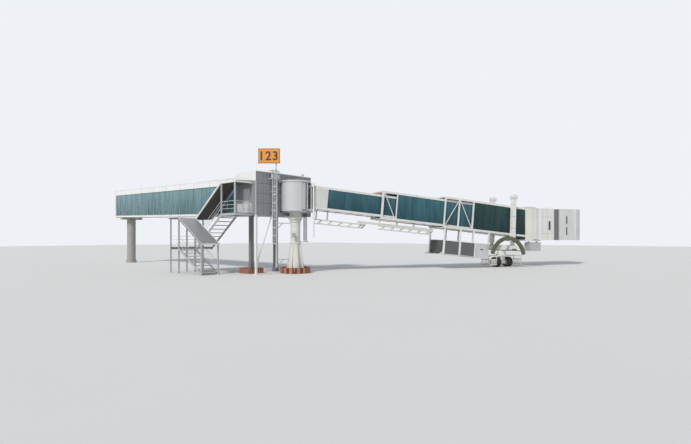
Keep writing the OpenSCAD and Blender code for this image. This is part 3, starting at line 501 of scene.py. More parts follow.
class Effects:
    """Node groups that several finishes share, each built once."""

    def __init__(self) -> None:
        """Build the weathering and metal grain groups."""
        self.weather = self._weather()
        self.grain = self._grain()

    def _weather(self) -> Tree:
        """Soot streaks down the walls, blotches and a fine orange-peel height."""
        tree, gin, gout = group_tree("weathering", [
            ("Vector", "Vector", (0, 0, 0)), ("Base", "Color", (0.8, 0.8, 0.8, 1)),
            ("Dirt", "Color", (0.3, 0.28, 0.25, 1)), ("Amount", "Float", 0.35), ("Gloss", "Float", 0.4)])
        add, times = partial(math_node, tree, "ADD"), partial(math_node, tree, "MULTIPLY")
        vec = gin["Vector"]
        streak = noise_node(tree, stretch(tree, vec, (7.0, 7.0, 0.55)), 2.2, 5.0)
        blotch = noise_node(tree, vec, 1.3, 6.0)
        fine = noise_node(tree, vec, 42.0, 3.0)
        streak = ramp_node(tree, streak, 0.52, 0.78)
        blotch = ramp_node(tree, blotch, 0.45, 0.75)
        mask = times(add(times(streak, 0.75), times(blotch, 0.45)), gin["Amount"])
        tone = mix_node(tree, times(fine, 0.06), gin["Base"], (0.95, 0.95, 0.95))
        feed(gout, {"Color": mix_node(tree, mask, tone, gin["Dirt"]),
                    "Roughness": add(gin["Gloss"], times(mask, 0.35)),
                    "Height": add(fine, times(blotch, 0.3))})
        return tree

    def _grain(self) -> Tree:
        """Fine upright brush marks and spangle for bare metal."""
        tree, gin, gout = group_tree("metal_grain", [
            ("Vector", "Vector", (0, 0, 0)), ("Base", "Color", (0.6, 0.6, 0.6, 1)),
            ("Spangle", "Float", 18.0), ("Depth", "Float", 0.12), ("Gloss", "Float", 0.35)])
        add, times = partial(math_node, tree, "ADD"), partial(math_node, tree, "MULTIPLY")
        cell = add_node(tree, "TexVoronoi", {"Vector": gin["Vector"], "Scale": gin["Spangle"]})
        brush = noise_node(tree, stretch(tree, gin["Vector"], (60.0, 60.0, 2.0)), 3.0, 2.0)
        shade = times(cell.outputs["Distance"], gin["Depth"])
        feed(gout, {"Color": mix_node(tree, shade, gin["Base"], (0.16, 0.17, 0.18)),
                    "Roughness": add(gin["Gloss"], times(brush, 0.18)), "Height": brush})
        return tree


@dataclass(frozen=True)
class Finish:
    """A painted or bare surface with its own weathering."""

    name: str
    color: Rgb
    slot: str
    gloss: float = 0.4
    metallic: float = 0.0
    dirt: float = 0.3
    dirt_color: Rgb = (0.22, 0.20, 0.17)
    bump: float = 0.12
    metal_grain: bool = False
    spangle: float = 18.0
    coat: float = 0.0
    stripe: Optional[Rgb] = None
    stripe_scale: float = 6.0

    def build(self, fx: Effects) -> bpy.types.Material:
        """Make the material from the shared node groups."""
        mat, tree, bsdf, coord = new_material(self.name, self.color)
        base = (*self.color, 1)
        if self.stripe is not None:
            split = add_node(tree, "SeparateXYZ", {0: coord})
            run = math_node(tree, "ADD", split.outputs["X"], split.outputs["Y"])
            wave = math_node(tree, "FRACT", math_node(tree, "MULTIPLY", run, self.stripe_scale))
            base = mix_node(tree, math_node(tree, "GREATER_THAN", wave, 0.5), self.color, self.stripe)
        own = {"Spangle": self.spangle} if self.metal_grain else {
            "Amount": self.dirt, "Dirt": (*self.dirt_color, 1)}
        group = add_node(tree, "Group", {}, node_tree=fx.grain if self.metal_grain else fx.weather)
        feed(group, {"Vector": coord, "Gloss": self.gloss, "Base": base, **own})
        bump = add_node(tree, "Bump", {"Strength": self.bump, "Distance": BUMP_DISTANCE,
                                       "Height": group.outputs["Height"]})
        feed(bsdf, {"Base Color": group.outputs["Color"], "Roughness": group.outputs["Roughness"],
                    "Metallic": self.metallic, "Coat Weight": self.coat, "Normal": bump.outputs["Normal"]})
        return mat


@dataclass(frozen=True)
class Glazing:
    """Tinted glass that is cloudy and deeper towards the foot of the panes."""

    name: str
    color: Rgb
    deep: Rgb
    up: Rgb
    span: tuple[float, float]
    slot: str = "bridge_glass"
    clear: float = 0.25
    cloud_scale: float = 1.4
    grade: float = 0.55

    def build(self, _fx: Effects) -> bpy.types.Material:
        """Make the material, which needs none of the shared groups."""
        mat, tree, bsdf, coord = new_material(self.name, self.color)
        streaks = noise_node(tree, stretch(tree, coord, (2.2, 2.2, 0.5)), self.cloud_scale, 4.0)
        cloud = ramp_node(tree, streaks, 0.38, 0.68)
        rise = add_node(tree, "VectorMath", {0: coord, 1: self.up}, operation="DOT_PRODUCT")
        fall = math_node(tree, "SUBTRACT", 1.0, ramp_node(tree, rise.outputs["Value"], *self.span))
        mask = math_node(tree, "ADD", math_node(tree, "MULTIPLY", cloud, 1.0 - self.grade),
                         math_node(tree, "MULTIPLY", fall, self.grade))
        feed(bsdf, {"Base Color": mix_node(tree, mask, self.color, self.deep), "Roughness": GLASS_ROUGHNESS,
                    "IOR": GLASS_IOR, "Transmission Weight": self.clear})
        return mat


class Palette:
    """Every finish of the bridge, built once and looked up by name."""

    FINISHES = (
        Finish("paint_white", (0.82, 0.82, 0.80), "white_paint", 0.38, coat=0.15),
        Finish("paint_fascia", (0.82, 0.83, 0.84), "white_paint", 0.42, dirt=0.22),
        Finish("paint_cream", (0.70, 0.69, 0.64), "cream_paint", 0.40, coat=0.15),
        Finish("paint_frame", (0.78, 0.77, 0.73), "cream_paint", 0.38, dirt=0.32, coat=0.15),
        # Box shell: its grey is the cladding's shaded tone, painted shade; the cladding itself is a light silver.
        Finish("panel_grey", (0.27, 0.28, 0.295), "grey_paint", 0.42, 0.15, 0.35),
        Finish("panel_light", (0.60, 0.62, 0.63), "grey_paint", 0.45, dirt=0.22),
        Finish("steel_dark", (0.055, 0.06, 0.066), "dark_steel", 0.5, 0.0, 0.35, (0.2, 0.19, 0.17)),
        Finish("silver_drum", (0.60, 0.61, 0.62), "silver_panel", 0.30, 0.2, 0.12, bump=0.05),
        Finish("silver_plain", (0.50, 0.51, 0.52), "silver_panel", 0.40, 0.45, 0.25),
        Finish("cab_silver", (0.68, 0.69, 0.67), "silver_panel", 0.36, 0.15, 0.28),
        Finish("zinc", (0.52, 0.54, 0.55), "galvanised", 0.42, 0.35, metal_grain=True, spangle=26.0),
        Finish("zinc_pale", (0.68, 0.70, 0.70), "galvanised", 0.42, 0.2, metal_grain=True, spangle=22.0),
        Finish("tread_plate", (0.14, 0.145, 0.15), "dark_steel", 0.5, 0.4, metal_grain=True, spangle=60.0),
        Finish("canopy_top", (0.36, 0.37, 0.37), "silver_panel", 0.45, 0.25, 0.35),
        # Underside of the stair canopy: near-black painted shade.
        Finish("canopy_under_shade", (0.060, 0.050, 0.045), "dark_steel", 0.6),
        Finish("leg_grey", (0.16, 0.175, 0.19), "dark_steel", 0.45, dirt=0.35),
        Finish("concrete", (0.36, 0.35, 0.32), "concrete", 0.85, dirt=0.5, bump=0.5),
        Finish("orange_plate", (0.80, 0.29, 0.012), "sign_orange", 0.42, dirt=0.12),
        Finish("guard_stripe", (0.55, 0.14, 0.02), "sign_orange", 0.5, dirt=0.45, stripe=(0.02, 0.02, 0.02)),
        Finish("numeral_black", (0.008, 0.008, 0.010), "dark_steel", 0.55, dirt=0.08),
        Finish("cable", (0.012, 0.012, 0.013), "cable_black", 0.55, dirt=0.2, bump=0.3),
        Finish("olive_hose", (0.075, 0.085, 0.035), "hose_olive", 0.6, dirt=0.35, bump=0.5),
        Finish("tyre", (0.014, 0.014, 0.015), "tyre_black", 0.8, 0.0, 0.35, (0.11, 0.10, 0.09), 0.6),
        Finish("bellows", (0.17, 0.175, 0.18), "bellows_grey", 0.75, dirt=0.4, bump=0.5),
        Finish("louvre_dark", (0.17, 0.18, 0.19), "grey_paint", 0.5, dirt=0.35),
        Finish("slit_dark", (0.010, 0.012, 0.015), "dark_steel", 0.25, dirt=0.1, coat=0.4),
        Finish("seam_dark", (0.045, 0.047, 0.05), "dark_steel", 0.6),
        Finish("lamp_pale", (0.85, 0.84, 0.78), "white_paint", 0.3, dirt=0.1),
        Glazing("glass_corridor", (0.24, 0.42, 0.45), (0.055, 0.14, 0.165), (0.0, -0.0236, 1.0), (2.95, 4.30)),
        Glazing("glass_inner", (0.065, 0.20, 0.25), (0.016, 0.07, 0.095), TUNNEL_UP,
                (TUNNEL_FOOT + 0.1, TUNNEL_FOOT + 1.1)),
        Glazing("glass_middle", (0.070, 0.215, 0.26), (0.018, 0.08, 0.11), TUNNEL_UP,
                (TUNNEL_FOOT, TUNNEL_FOOT + 1.3)),
        Glazing("glass_outer", (0.030, 0.095, 0.095), (0.005, 0.022, 0.024), TUNNEL_UP,
                (TUNNEL_FOOT - 0.1, TUNNEL_FOOT + 1.4)),
    )

    NODES = {
        "paint_white": "box_wedge slim_post conduit unit_posts lift_outer lift_inner",
        "paint_fascia": "corridor_frame",
        "paint_cream": "rotunda_column cable_tray boom_a boom_b cab_collar",
        "paint_frame": "tunnel_a_frame tunnel_b_frame tunnel_c_frame pitch_lugs service_unit bogie_frame cab_shell",
        "panel_grey": "box_shell",
        "panel_light": "landing_door",
        "leg_grey": "box_legs",
        "silver_drum": "rotunda_wall turn_curtain",
        "silver_plain": "rotunda_cap turn_frame cab_locker",
        "cab_silver": "cab_nose",
        "zinc": "stair_frame",
        "zinc_pale": "stair_rails ladder sign_mast",
        "tread_plate": "stair_treads",
        "canopy_top": "stair_roof",
        "concrete": "corridor_pier",
        "guard_stripe": "base_guard",
        "olive_hose": "hose_arch",
        "bellows": "cab_bellows",
        "glass_corridor": "corridor_glass",
        "glass_inner": "tunnel_a_glass",
        "glass_middle": "tunnel_b_glass",
        "glass_outer": "tunnel_c_glass",
    }

    def __init__(self) -> None:
        """Build the shared groups and every material."""
        fx = Effects()
        self.mats = {f.name: f.build(fx) for f in self.FINISHES}
        self.slots = {f.name: f.slot for f in self.FINISHES}

    def dress(self, piece: Piece, finish: str, body: Body, *replaces: str) -> Piece:
        """Give a piece its material and body.

        Args:
            piece: The finished piece.
            finish: Name of the finish.
            body: Body that the piece rides on.
            replaces: CAD nodes that the piece stands for.

        Returns:
            The same piece.
        """
        piece.data.materials.clear()
        piece.data.materials.append(self.mats[finish])
        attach(piece, body.value)
        if replaces:
            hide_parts(*replaces)
        log.info("%s: %s on %s", piece.name, finish, body.value)
        return piece

    def trim(self, body: Body, place: Array, name: str, finish: str, rows: Sequence,
             rounding: float = 0.0, shrink: float = 1.0) -> None:
        """Make a piece from blocks and dress it.

        Args:
            body: Body that the piece rides on.
            place: Matrix that carries the blocks into place.
            name: Name of the piece.
            finish: Name of the finish.
            rows: Blocks, as in blocks().
            rounding: Width of the bevel, 0 for none.
            shrink: Width of the lower ends over that of the upper ones.
        """
        piece = blocks(name, rows, place, shrink)
        if rounding:
            bevel(piece, rounding)
        self.dress(piece, finish, body)

    def dress_nodes(self) -> None:
        """Give the CAD nodes their materials."""
        for finish, names in self.NODES.items():
            for name in names.split():
                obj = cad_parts[name]
                if not obj.material_slots:
                    obj.data.materials.append(None)
                for s in obj.material_slots:
                    s.material = self.mats[finish]
                log.info("%s: %s", name, finish)


# ---- sub-assemblies


@dataclass
class Corridor:
    """Fixed glazed corridor with its pier."""

    pal: Palette
    bays: int = 18
    sill: float = 0.11
    fascia: float = 0.35
    post_w: float = 0.04
    trim: float = 0.03

    def build(self) -> None:
        """Add edge trims, caps, joints and roof ribs."""
        add = partial(self.pal.trim, Body.FIXED, LAY.corridor)
        w, h, end, t = LAY.corridor_w, LAY.corridor_h, LAY.corridor_l, self.trim
        y0 = h * math.sin(math.radians(LAY.ramp)) + 0.02
        low, top = self.sill, h - self.fascia
        bay = (end - self.post_w) / self.bays
        y = np.arange(1, self.bays) * bay
        add("corridor_edge_trim", "paint_white", [
            (x0, y0, a, x1, end - 0.1, b) for x0, x1 in ((-0.012, 0.0), (w, w + 0.012))
            for a, b in ((top, top + t), (h - 0.04, h), (low - t, low), (0.0, t))])
        add("corridor_fascia_joints", "seam_dark", [
            (x - 0.004, v - 0.004, top + t, x + 0.004, v + 0.004, h - 0.04) for v in y[::2] for x in (0.0, w)])
        add("corridor_mullion_caps", "glass_corridor", [
            (x0, v - 0.003, low, x1, v + 0.043, top) for v in y for x0, x1 in ((-0.008, 0.0), (w, w + 0.008))])
        add("corridor_pane_joints", "slit_dark", [
            (x0, v + 0.012, low, x1, v + 0.028, top)
            for v in y for x0, x1 in ((-0.0115, -0.007), (w + 0.007, w + 0.0115))])
        add("corridor_roof_ribs", "paint_fascia", [
            (0.03, v, h, w - 0.03, v + 0.02, h + 0.012) for v in np.arange(y0 + 0.4, end - 0.2, bay)])


@dataclass
class JunctionBox:
    """Grey panelled box between corridor, stair and rotunda."""

    pal: Palette
    seam: float = 0.010
    panel: float = 0.46
    throat: float = 0.80
    throat_top: float = 1.75
    leg_y: float = 1.55
    leg_x: tuple[float, float] = (-1.55, 0.0)

    def build(self) -> None:
        """Add seams, trims, foot sleeves, the door and a painted sunlit patch low on the side."""
        add = partial(self.pal.trim, Body.FIXED, LAY.box)
        w, d, h, mid, s = LAY.box_w, LAY.box_d, LAY.box_h, LAY.box_left, self.seam
        rows = [(x0, y0, z, x1, y1, z + s) for z in (0.55, 1.02, 1.50)
                for x0, y0, x1, y1 in ((0.01, -0.003, mid - self.throat, 0.001),
                                       (mid + self.throat, -0.003, w, 0.001), (w - 0.001, 0.0, w + 0.003, d))]
        for x in np.arange(0.42, w - 0.1, self.panel):
            low = 0.0 if abs(x - mid) > self.throat else self.throat_top
            rows.append((x, -0.003, low, x + s * 0.7, 0.001, h - 0.02))
        rows += [(-0.003, 0.05, z, 0.001, d - 0.02, z + s) for z in (0.05, 1.40)]
        add("box_panel_seams", "seam_dark", rows)
        add("box_roof_trim", "panel_light", [
            (-0.02, -0.02, h - 0.03, w + 0.02, 0.0, h + 0.012), (w, 0.0, h - 0.03, w + 0.02, d, h + 0.012),
            (-0.02, -0.02, 0.0, 0.012, 0.012, h - 0.5), (w - 0.3, 0.3, h, w - 0.26, 0.34, h + 0.16),
            (w - 0.34, 0.26, h + 0.14, w - 0.22, 0.38, h + 0.18)])
        # Painted sunlight: pale panels low on the box's side, beside and below the door, where the sun reaches in
        # under the stair canopy.
        add("box_side_painted_sunlight", "panel_light", [
            (-0.004, y0, z0, 0.001, y1, z1)
            for y0, z0, y1, z1 in ((0.33, 0.09, 1.49, 0.195), (0.33, 0.2, 0.46, 0.56), (1.04, 0.2, 1.49, 0.56))])
        foot = [(x - 0.11, self.leg_y - 0.11, 0.04, x + 0.11, self.leg_y + 0.11, 0.30) for x in self.leg_x]
        self.pal.trim(Body.FIXED, WORLD, "leg_foot_sleeves", "leg_grey", foot, shrink=1.12)
        add("door_leaf_skin", "panel_light", [(0.012, 0.48, 0.21, 0.02, 1.02, 1.26)])
        add("door_frame_trim", "zinc", [
            (-0.012, 0.465, 0.2, 0.002, 0.485, 1.28), (-0.012, 1.015, 0.2, 0.002, 1.035, 1.28),
            (-0.012, 0.465, 1.27, 0.002, 1.035, 1.29), (-0.03, 0.93, 0.68, 0.012, 0.95, 0.76)])


@dataclass
class Stair:
    """Roofed dog-leg stair on the outer side of the box."""

    pal: Palette
    inner: float = -2.17
    flight: float = 0.94
    foot_y: float = 2.0
    mid_y: float = 4.12
    deep: float = 0.88
    mid_z: float = 1.29
    top_y0: float = 0.7
    top_y1: float = 1.86
    top_z: float = 2.94
    canopy: float = 1.44
    over: float = 0.04
    treads: int = 9

    def build(self) -> None:
        """Add nosings, canopy edges and near-black soffit sheets, which are painted shade under the canopy."""
        n, up = self.treads, self.inner
        mid, out = up - self.flight, up - 2 * self.flight
        i = np.arange(1, n)
        y = self.foot_y + 0.07 + (i - 1) * (self.mid_y - self.foot_y - 0.07) / (n - 1)
        z = i * self.mid_z / n
        rows = [(out + 0.054, a - 0.006, b - 0.028, mid - 0.054, a + 0.014, b + 0.004) for a, b in zip(y, z)]
        y = self.mid_y - 0.02 - i * (self.mid_y - self.top_y1) / n + 0.12
        z = self.mid_z + i * (self.top_z - self.mid_z) / n
        rows += [(mid + 0.05, a - 0.014, b - 0.028, up - 0.05, a + 0.006, b + 0.004) for a, b in zip(y, z)]
        self.pal.trim(Body.FIXED, WORLD, "stair_nosings", "zinc_pale", rows)
        c0, c1, c2 = self.canopy, self.mid_z + self.canopy - 0.02, self.top_z + self.canopy - 0.02
        y0, y1, y2 = self.foot_y - self.over, self.mid_y, self.mid_y + self.deep + self.over
        y3, y4, rim = self.top_y1, self.top_y0 - self.over, out - self.over + 0.015
        edges = [(rim, y0, c0, rim, y1, c1), (mid - 0.005, y0, c0, mid - 0.005, y1, c1),
                 (rim - 0.012, y0, c0, mid, y0, c0), (rim, y1, c1, rim, y2, c1),
                 (rim - 0.012, y2, c1, up, y2, c1), (mid, y1, c1, mid, y3, c2),
                 (mid, y3, c2, mid, y4, c2), (mid, y4, c2, up, y4, c2)]
        piece = bars("stair_canopy_edges", np.array(edges) + [0, 0, 0.025] * 2, 0.03, 0.075)
        self.pal.dress(piece, "paint_white", Body.FIXED)
        # Painted shade: near-black sheets just under the canopy roofs, standing in for the shade beneath them.
        a, b = (mid + up) / 2, (mid + out) / 2
        soffit = [(a, y1, c1, a, y3, c2), (a, y3, c2, a, self.top_y0, c2), (b, self.foot_y, c0 + 0.024, b, y1, c1)]
        piece = bars("stair_canopy_shade_sheets", np.array(soffit) - [0, 0, 0.008] * 2, self.flight - 0.14, 0.012)
        self.pal.dress(piece, "canopy_under_shade", Body.FIXED)


@dataclass
class LadderAndSign:
    """Caged ladder with the stand number above it."""

    pal: Palette
    middle: float = -0.325
    sign_w: float = 1.04
    sign_h: float = 0.705
    rim: float = 0.02
    digit_size: float = 0.60
    digit_space: float = 1.12
    digit_weight: float = 0.012
    digit_depth: float = 0.003

    def build(self) -> None:
        """Make the sign with its plain digits and the lamp boxes."""
        add = partial(self.pal.trim, Body.FIXED, LAY.sign)
        x0, x1 = self.middle - self.sign_w / 2, self.middle + self.sign_w / 2
        h, e = self.sign_h, self.rim
        add("sign_face", "orange_plate", [(x0 + 0.012, -0.084, 0.012, x1 - 0.012, -0.079, h - 0.012)], 0.002)
        add("sign_rim", "numeral_black", [
            (a, -0.087, b, c, -0.018, d)
            for a, b, c, d in ((x0, 0.0, x1, e), (x0, h - e, x1, h), (x0, e, x0 + e, h - e), (x1 - e, e, x1, h - e))])
        self.pal.dress(self.digits("123"), "numeral_black", Body.FIXED)
        boxes = [(-1.09, 0.06, 4.64, -0.98, 0.12, 4.80), (-1.40, 0.06, 4.66, -1.33, 0.12, 4.78)]
        self.pal.trim(Body.FIXED, WORLD, "ladder_lamp_boxes", "paint_cream", boxes, 0.006)

    def digits(self, text: str) -> Piece:
        """Lay plain digits, 6 mm thick, in the middle of the sign's face.

        Args:
            text: The digits.

        Returns:
            The mesh piece.
        """
        curve = bpy.data.curves.new("sign_digits", "FONT")
        curve.body = text
        curve.align_x = curve.align_y = "CENTER"
        curve.size = self.digit_size
        curve.space_character = self.digit_space
        curve.extrude = self.digit_depth
        curve.offset = self.digit_weight
        temp = link_piece("sign_digits_curve", curve)
        bpy.context.view_layer.update()
        mesh = bpy.data.meshes.new_from_object(temp.evaluated_get(bpy.context.evaluated_depsgraph_get()))
        bpy.data.objects.remove(temp)
        co = np.zeros(len(mesh.vertices) * 3, np.float32)
        mesh.vertices.foreach_get("co", co)
        co = co.reshape(-1, 3)
        co[:, :2] -= (co[:, :2].max(0) + co[:, :2].min(0)) / 2
        place = LAY.sign @ LAY.move(self.middle, -0.0845, self.sign_h / 2) @ LAY.turn("x", 90)
        mesh.vertices.foreach_set("co", carry(co, place).astype(np.float32).ravel())
        mesh.update()
        mesh.name = "sign_digits"
        return link_piece("sign_digits", mesh)


@dataclass
class Rotunda:
    """Column, curved walls and turning frame."""

    pal: Palette
    radius: float = 0.75
    low: float = 3.08
    high: float = 4.49
    lamp_ring: float = 0.62
    stud_ring: float = 0.49
    strip_r: float = 0.726
    tray_z: float = 1.60
    cables: int = 5

    def build(self) -> None:
        """Add rims, lamps, nuts, cables and strips."""
        p = self.pal
        r, z = self.radius, self.high
        ring = [(r - 0.01, z + 0.052), (r + 0.025, z + 0.052), (r + 0.034, z + 0.07), (r + 0.025, z + 0.088),
                (r - 0.01, z + 0.088)]
        p.dress(lathe("drum_roof_rim", ring, 96), "paint_frame", Body.FIXED)
        self.copies("drum_roof_lamps", "lamp_pale",
                    [(AXIS_R, 0), (0.045, 0), (0.045, 0.03), (0.03, 0.055), (AXIS_R, 0.06)], 20,
                    self.circle(self.lamp_ring, np.radians([200, 240, 280]), z + 0.06))
        rings = [lathe(f"ring_{k}", [(a, c), (b, c), (b, d), (a, d)]) for k, (a, b, c, d) in enumerate(
            ((0.246, 0.262, 2.40, 2.46), (0.33, 0.352, 2.70, 2.79), (0.246, 0.275, 1.5, 1.56)))]
        p.dress(join("column_rings", rings), "paint_frame", Body.FIXED)
        self.copies("anchor_nuts", "zinc", [(AXIS_R, 0.04), (0.036, 0.04), (0.036, 0.075), (0.017, 0.078),
                                            (0.017, 0.12), (AXIS_R, 0.12)], 6,
                    self.circle(self.stud_ring, np.linspace(0, 2 * np.pi, 8, endpoint=False), 0.01))
        self.hanging_cables()
        self.curtain_strips()
        add = partial(p.trim, Body.FIXED, WORLD)
        add("column_switch_box", "silver_plain", [(-0.42, -0.30, 1.78, -0.27, -0.2, 2.0)], 0.008)
        add("column_switch_arm", "silver_plain", [(-0.30, -0.22, 1.86, -0.18, -0.17, 1.91)])

    def circle(self, radius: float, angles: Array, z: float) -> Array:
        """Return points on a level circle: (r cos a, r sin a, z)."""
        return np.stack([radius * np.cos(angles), radius * np.sin(angles), np.full(len(angles), z)], -1)

    def copies(self, name: str, finish: str, profile: Sequence, steps: int, spots: Sequence) -> None:
        """Turn one profile at several spots and dress the copies as one piece.

        Args:
            name: Name of the piece.
            finish: Name of the finish.
            profile: Rows of radius and height.
            steps: Points round each copy.
            spots: Middle of each copy's foot.
        """
        parts = [lathe(f"{name}_{k}", profile, steps, LAY.move(*spot)) for k, spot in enumerate(spots)]
        self.pal.dress(join(name, parts), finish, Body.FIXED)

    def hanging_cables(self) -> None:
        """Hang straight cables from the rotunda's underside to glands in the tray."""
        spots = [(0.33 + k * 0.034, -0.25 - k * 0.022) for k in range(self.cables)]
        for k, (x, y) in enumerate(spots):
            path = [(x, y, z) for z in np.linspace(3.02, self.tray_z, 24)]
            drop = self.pal.dress(tube(f"hanging_cable_{k + 1}", path, 0.0125), "cable", Body.FIXED, "cable_drop")
        z = self.tray_z
        gland = [(0.014, z), (0.024, z), (0.024, z + 0.025), (0.018, z + 0.04), (0.014, z + 0.04)]
        self.copies("tray_glands", "zinc", gland, 24, [(x, y, 0) for x, y in spots])

    def curtain_strips(self) -> None:
        """Set one pale and one dark upright strip on the turning curved wall."""
        r0, r1, z0, z1 = self.strip_r - 0.001, self.strip_r + 0.003, self.low + 0.08, self.high - 0.03
        section = [(r0, z0), (r1, z0), (r1, z1), (r0, z1)]
        for name, finish, arc in (("curtain_pale_strip", "paint_white", (-56.0, -46.5)),
                                  ("curtain_dark_strip", "steel_dark", (-62.0, -56.5))):
            self.pal.dress(lathe(name, section, 16, LAY.level, arc), finish, Body.TURN)


@dataclass
class TunnelDress:
    """Trim of one telescoping tunnel."""

    pal: Palette
    letter: str
    body: Body
    half: float
    low: float
    high: float
    start: float
    length: float
    posts: Sequence[float]
    chord: float = 0.11
    rib_pitch: float = 0.62

    def build(self) -> None:
        """Add lips along the chords, ribs and pane joints."""
        name = f"tunnel_{self.letter}"
        add = partial(self.pal.trim, self.body, LAY.tunnel)
        hw, z0, z1, x0, x1 = self.half, self.low, self.high, self.start, self.start + self.length
        g0, g1 = z0 + self.chord, z1 - self.chord
        add(f"{name}_chord_lips", "paint_white", both(
            [(x0, -0.003, g0 - 0.018, x1, 0.003, g0), (x0, -0.003, g1, x1, 0.003, g1 + 0.018)], hw))
        add(f"{name}_roof_ribs", "paint_frame", [
            (x, -hw + 0.02, z1, x + 0.03, hw - 0.02, z1 + 0.014)
            for x in np.arange(x0 + 0.2, x1 - 0.1, self.rib_pitch)])
        add(f"{name}_floor_ribs", "steel_dark", [
            (x, -hw + 0.06, z0 - 0.012, x + 0.05, hw - 0.06, z0)
            for x in np.arange(x0 + 0.25, x1 - 0.1, self.rib_pitch)])
        add(f"{name}_pane_joints", "slit_dark", both(
            [(x - 0.013, -0.004, g0, x + 0.013, 0.004, g1) for x in self.posts], hw - 0.023))


@dataclass
class Tunnels:
    """The three telescoping tunnels, their booms and the machine unit."""

    pal: Palette
    inner_half: float = 0.525
    slat_pitch: float = 0.045
    foot_y: float = 0.71

    def build(self) -> None:
        """Trim each tunnel, the first panel and the machine unit."""
        p = self.pal
        for tunnel in (
                TunnelDress(p, "a", Body.INNER, self.inner_half, 0.0, 1.165, -0.02, 7.105,
                            [0.75 + 0.884286 * i for i in range(8)]),
                TunnelDress(p, "b", Body.MIDDLE, 0.64, -0.12, 1.385, 3.7, 6.5,
                            [4.64 + 0.901667 * i for i in range(1, 7)]),
                TunnelDress(p, "c", Body.OUTER, 0.755, -0.20, 1.535, LAY.unit_x, 5.95, [10.38, 11.28, 12.13])):
            tunnel.build()
        self.first_panel()
        self.machine_unit()

    def first_panel(self) -> None:
        """Lay upright cover strips over the closed first panel of the inner tunnel."""
        add = partial(self.pal.trim, Body.INNER, LAY.tunnel)
        add("first_panel_strips", "paint_white", both(
            [(x, -0.003, 0.03, x + 0.012, 0.003, 1.14) for x in (-0.015, 0.22, 0.46, 0.70)], self.inner_half))
        add("first_panel_skin", "paint_cream", both(
            [(-0.018, -0.001, 0.115, 0.718, 0.001, 1.05)], self.inner_half + 0.001))

    def machine_unit(self) -> None:
        """Fill the two left bays of the unit with slats and add its other trim."""
        add = partial(self.pal.trim, Body.OUTER, LAY.unit)
        bays = ((0.175, 1.17), (1.24, 2.23))
        add("unit_louvre_slats", "louvre_dark", both(
            [(a + 0.06, -0.0065, z, b - 0.06, 0.0065, z + 0.024)
             for a, b in bays for z in np.arange(-1.62, -0.95, self.slat_pitch)], 0.7475))
        add("unit_louvre_backs", "seam_dark", both(
            [(a + 0.04, -0.002, -1.65, b - 0.04, 0.002, -0.91) for a, b in bays], 0.741))
        add("unit_louvre_rims", "paint_white", both(
            [(a + 0.02, -0.0065, z0, b - 0.02, 0.0065, z1)
             for a, b in bays for z0, z1 in ((-1.672, -1.65), (-0.91, -0.885))], 0.7475))
        add("unit_plain_panel", "panel_light", both([(2.25, -0.003, -1.67, 3.18, 0.003, -0.89)], 0.756))
        add("unit_dark_end", "seam_dark", [(0.171, -0.72, -1.66, 0.176, 0.72, -0.89)])
        add("unit_blank_plate", "seam_dark", [
            (2.62, -0.764, -1.25, 2.80, -0.758, -1.18), (2.27, -0.763, -1.3, 2.283, -0.757, -1.18)])
        feet = bars("unit_splayed_feet", both([(0.13, 0, -1.55, -0.12, 0, -1.70)], self.foot_y), 0.05, 0.05, LAY.unit)
        self.pal.dress(feet, "paint_white", Body.OUTER)


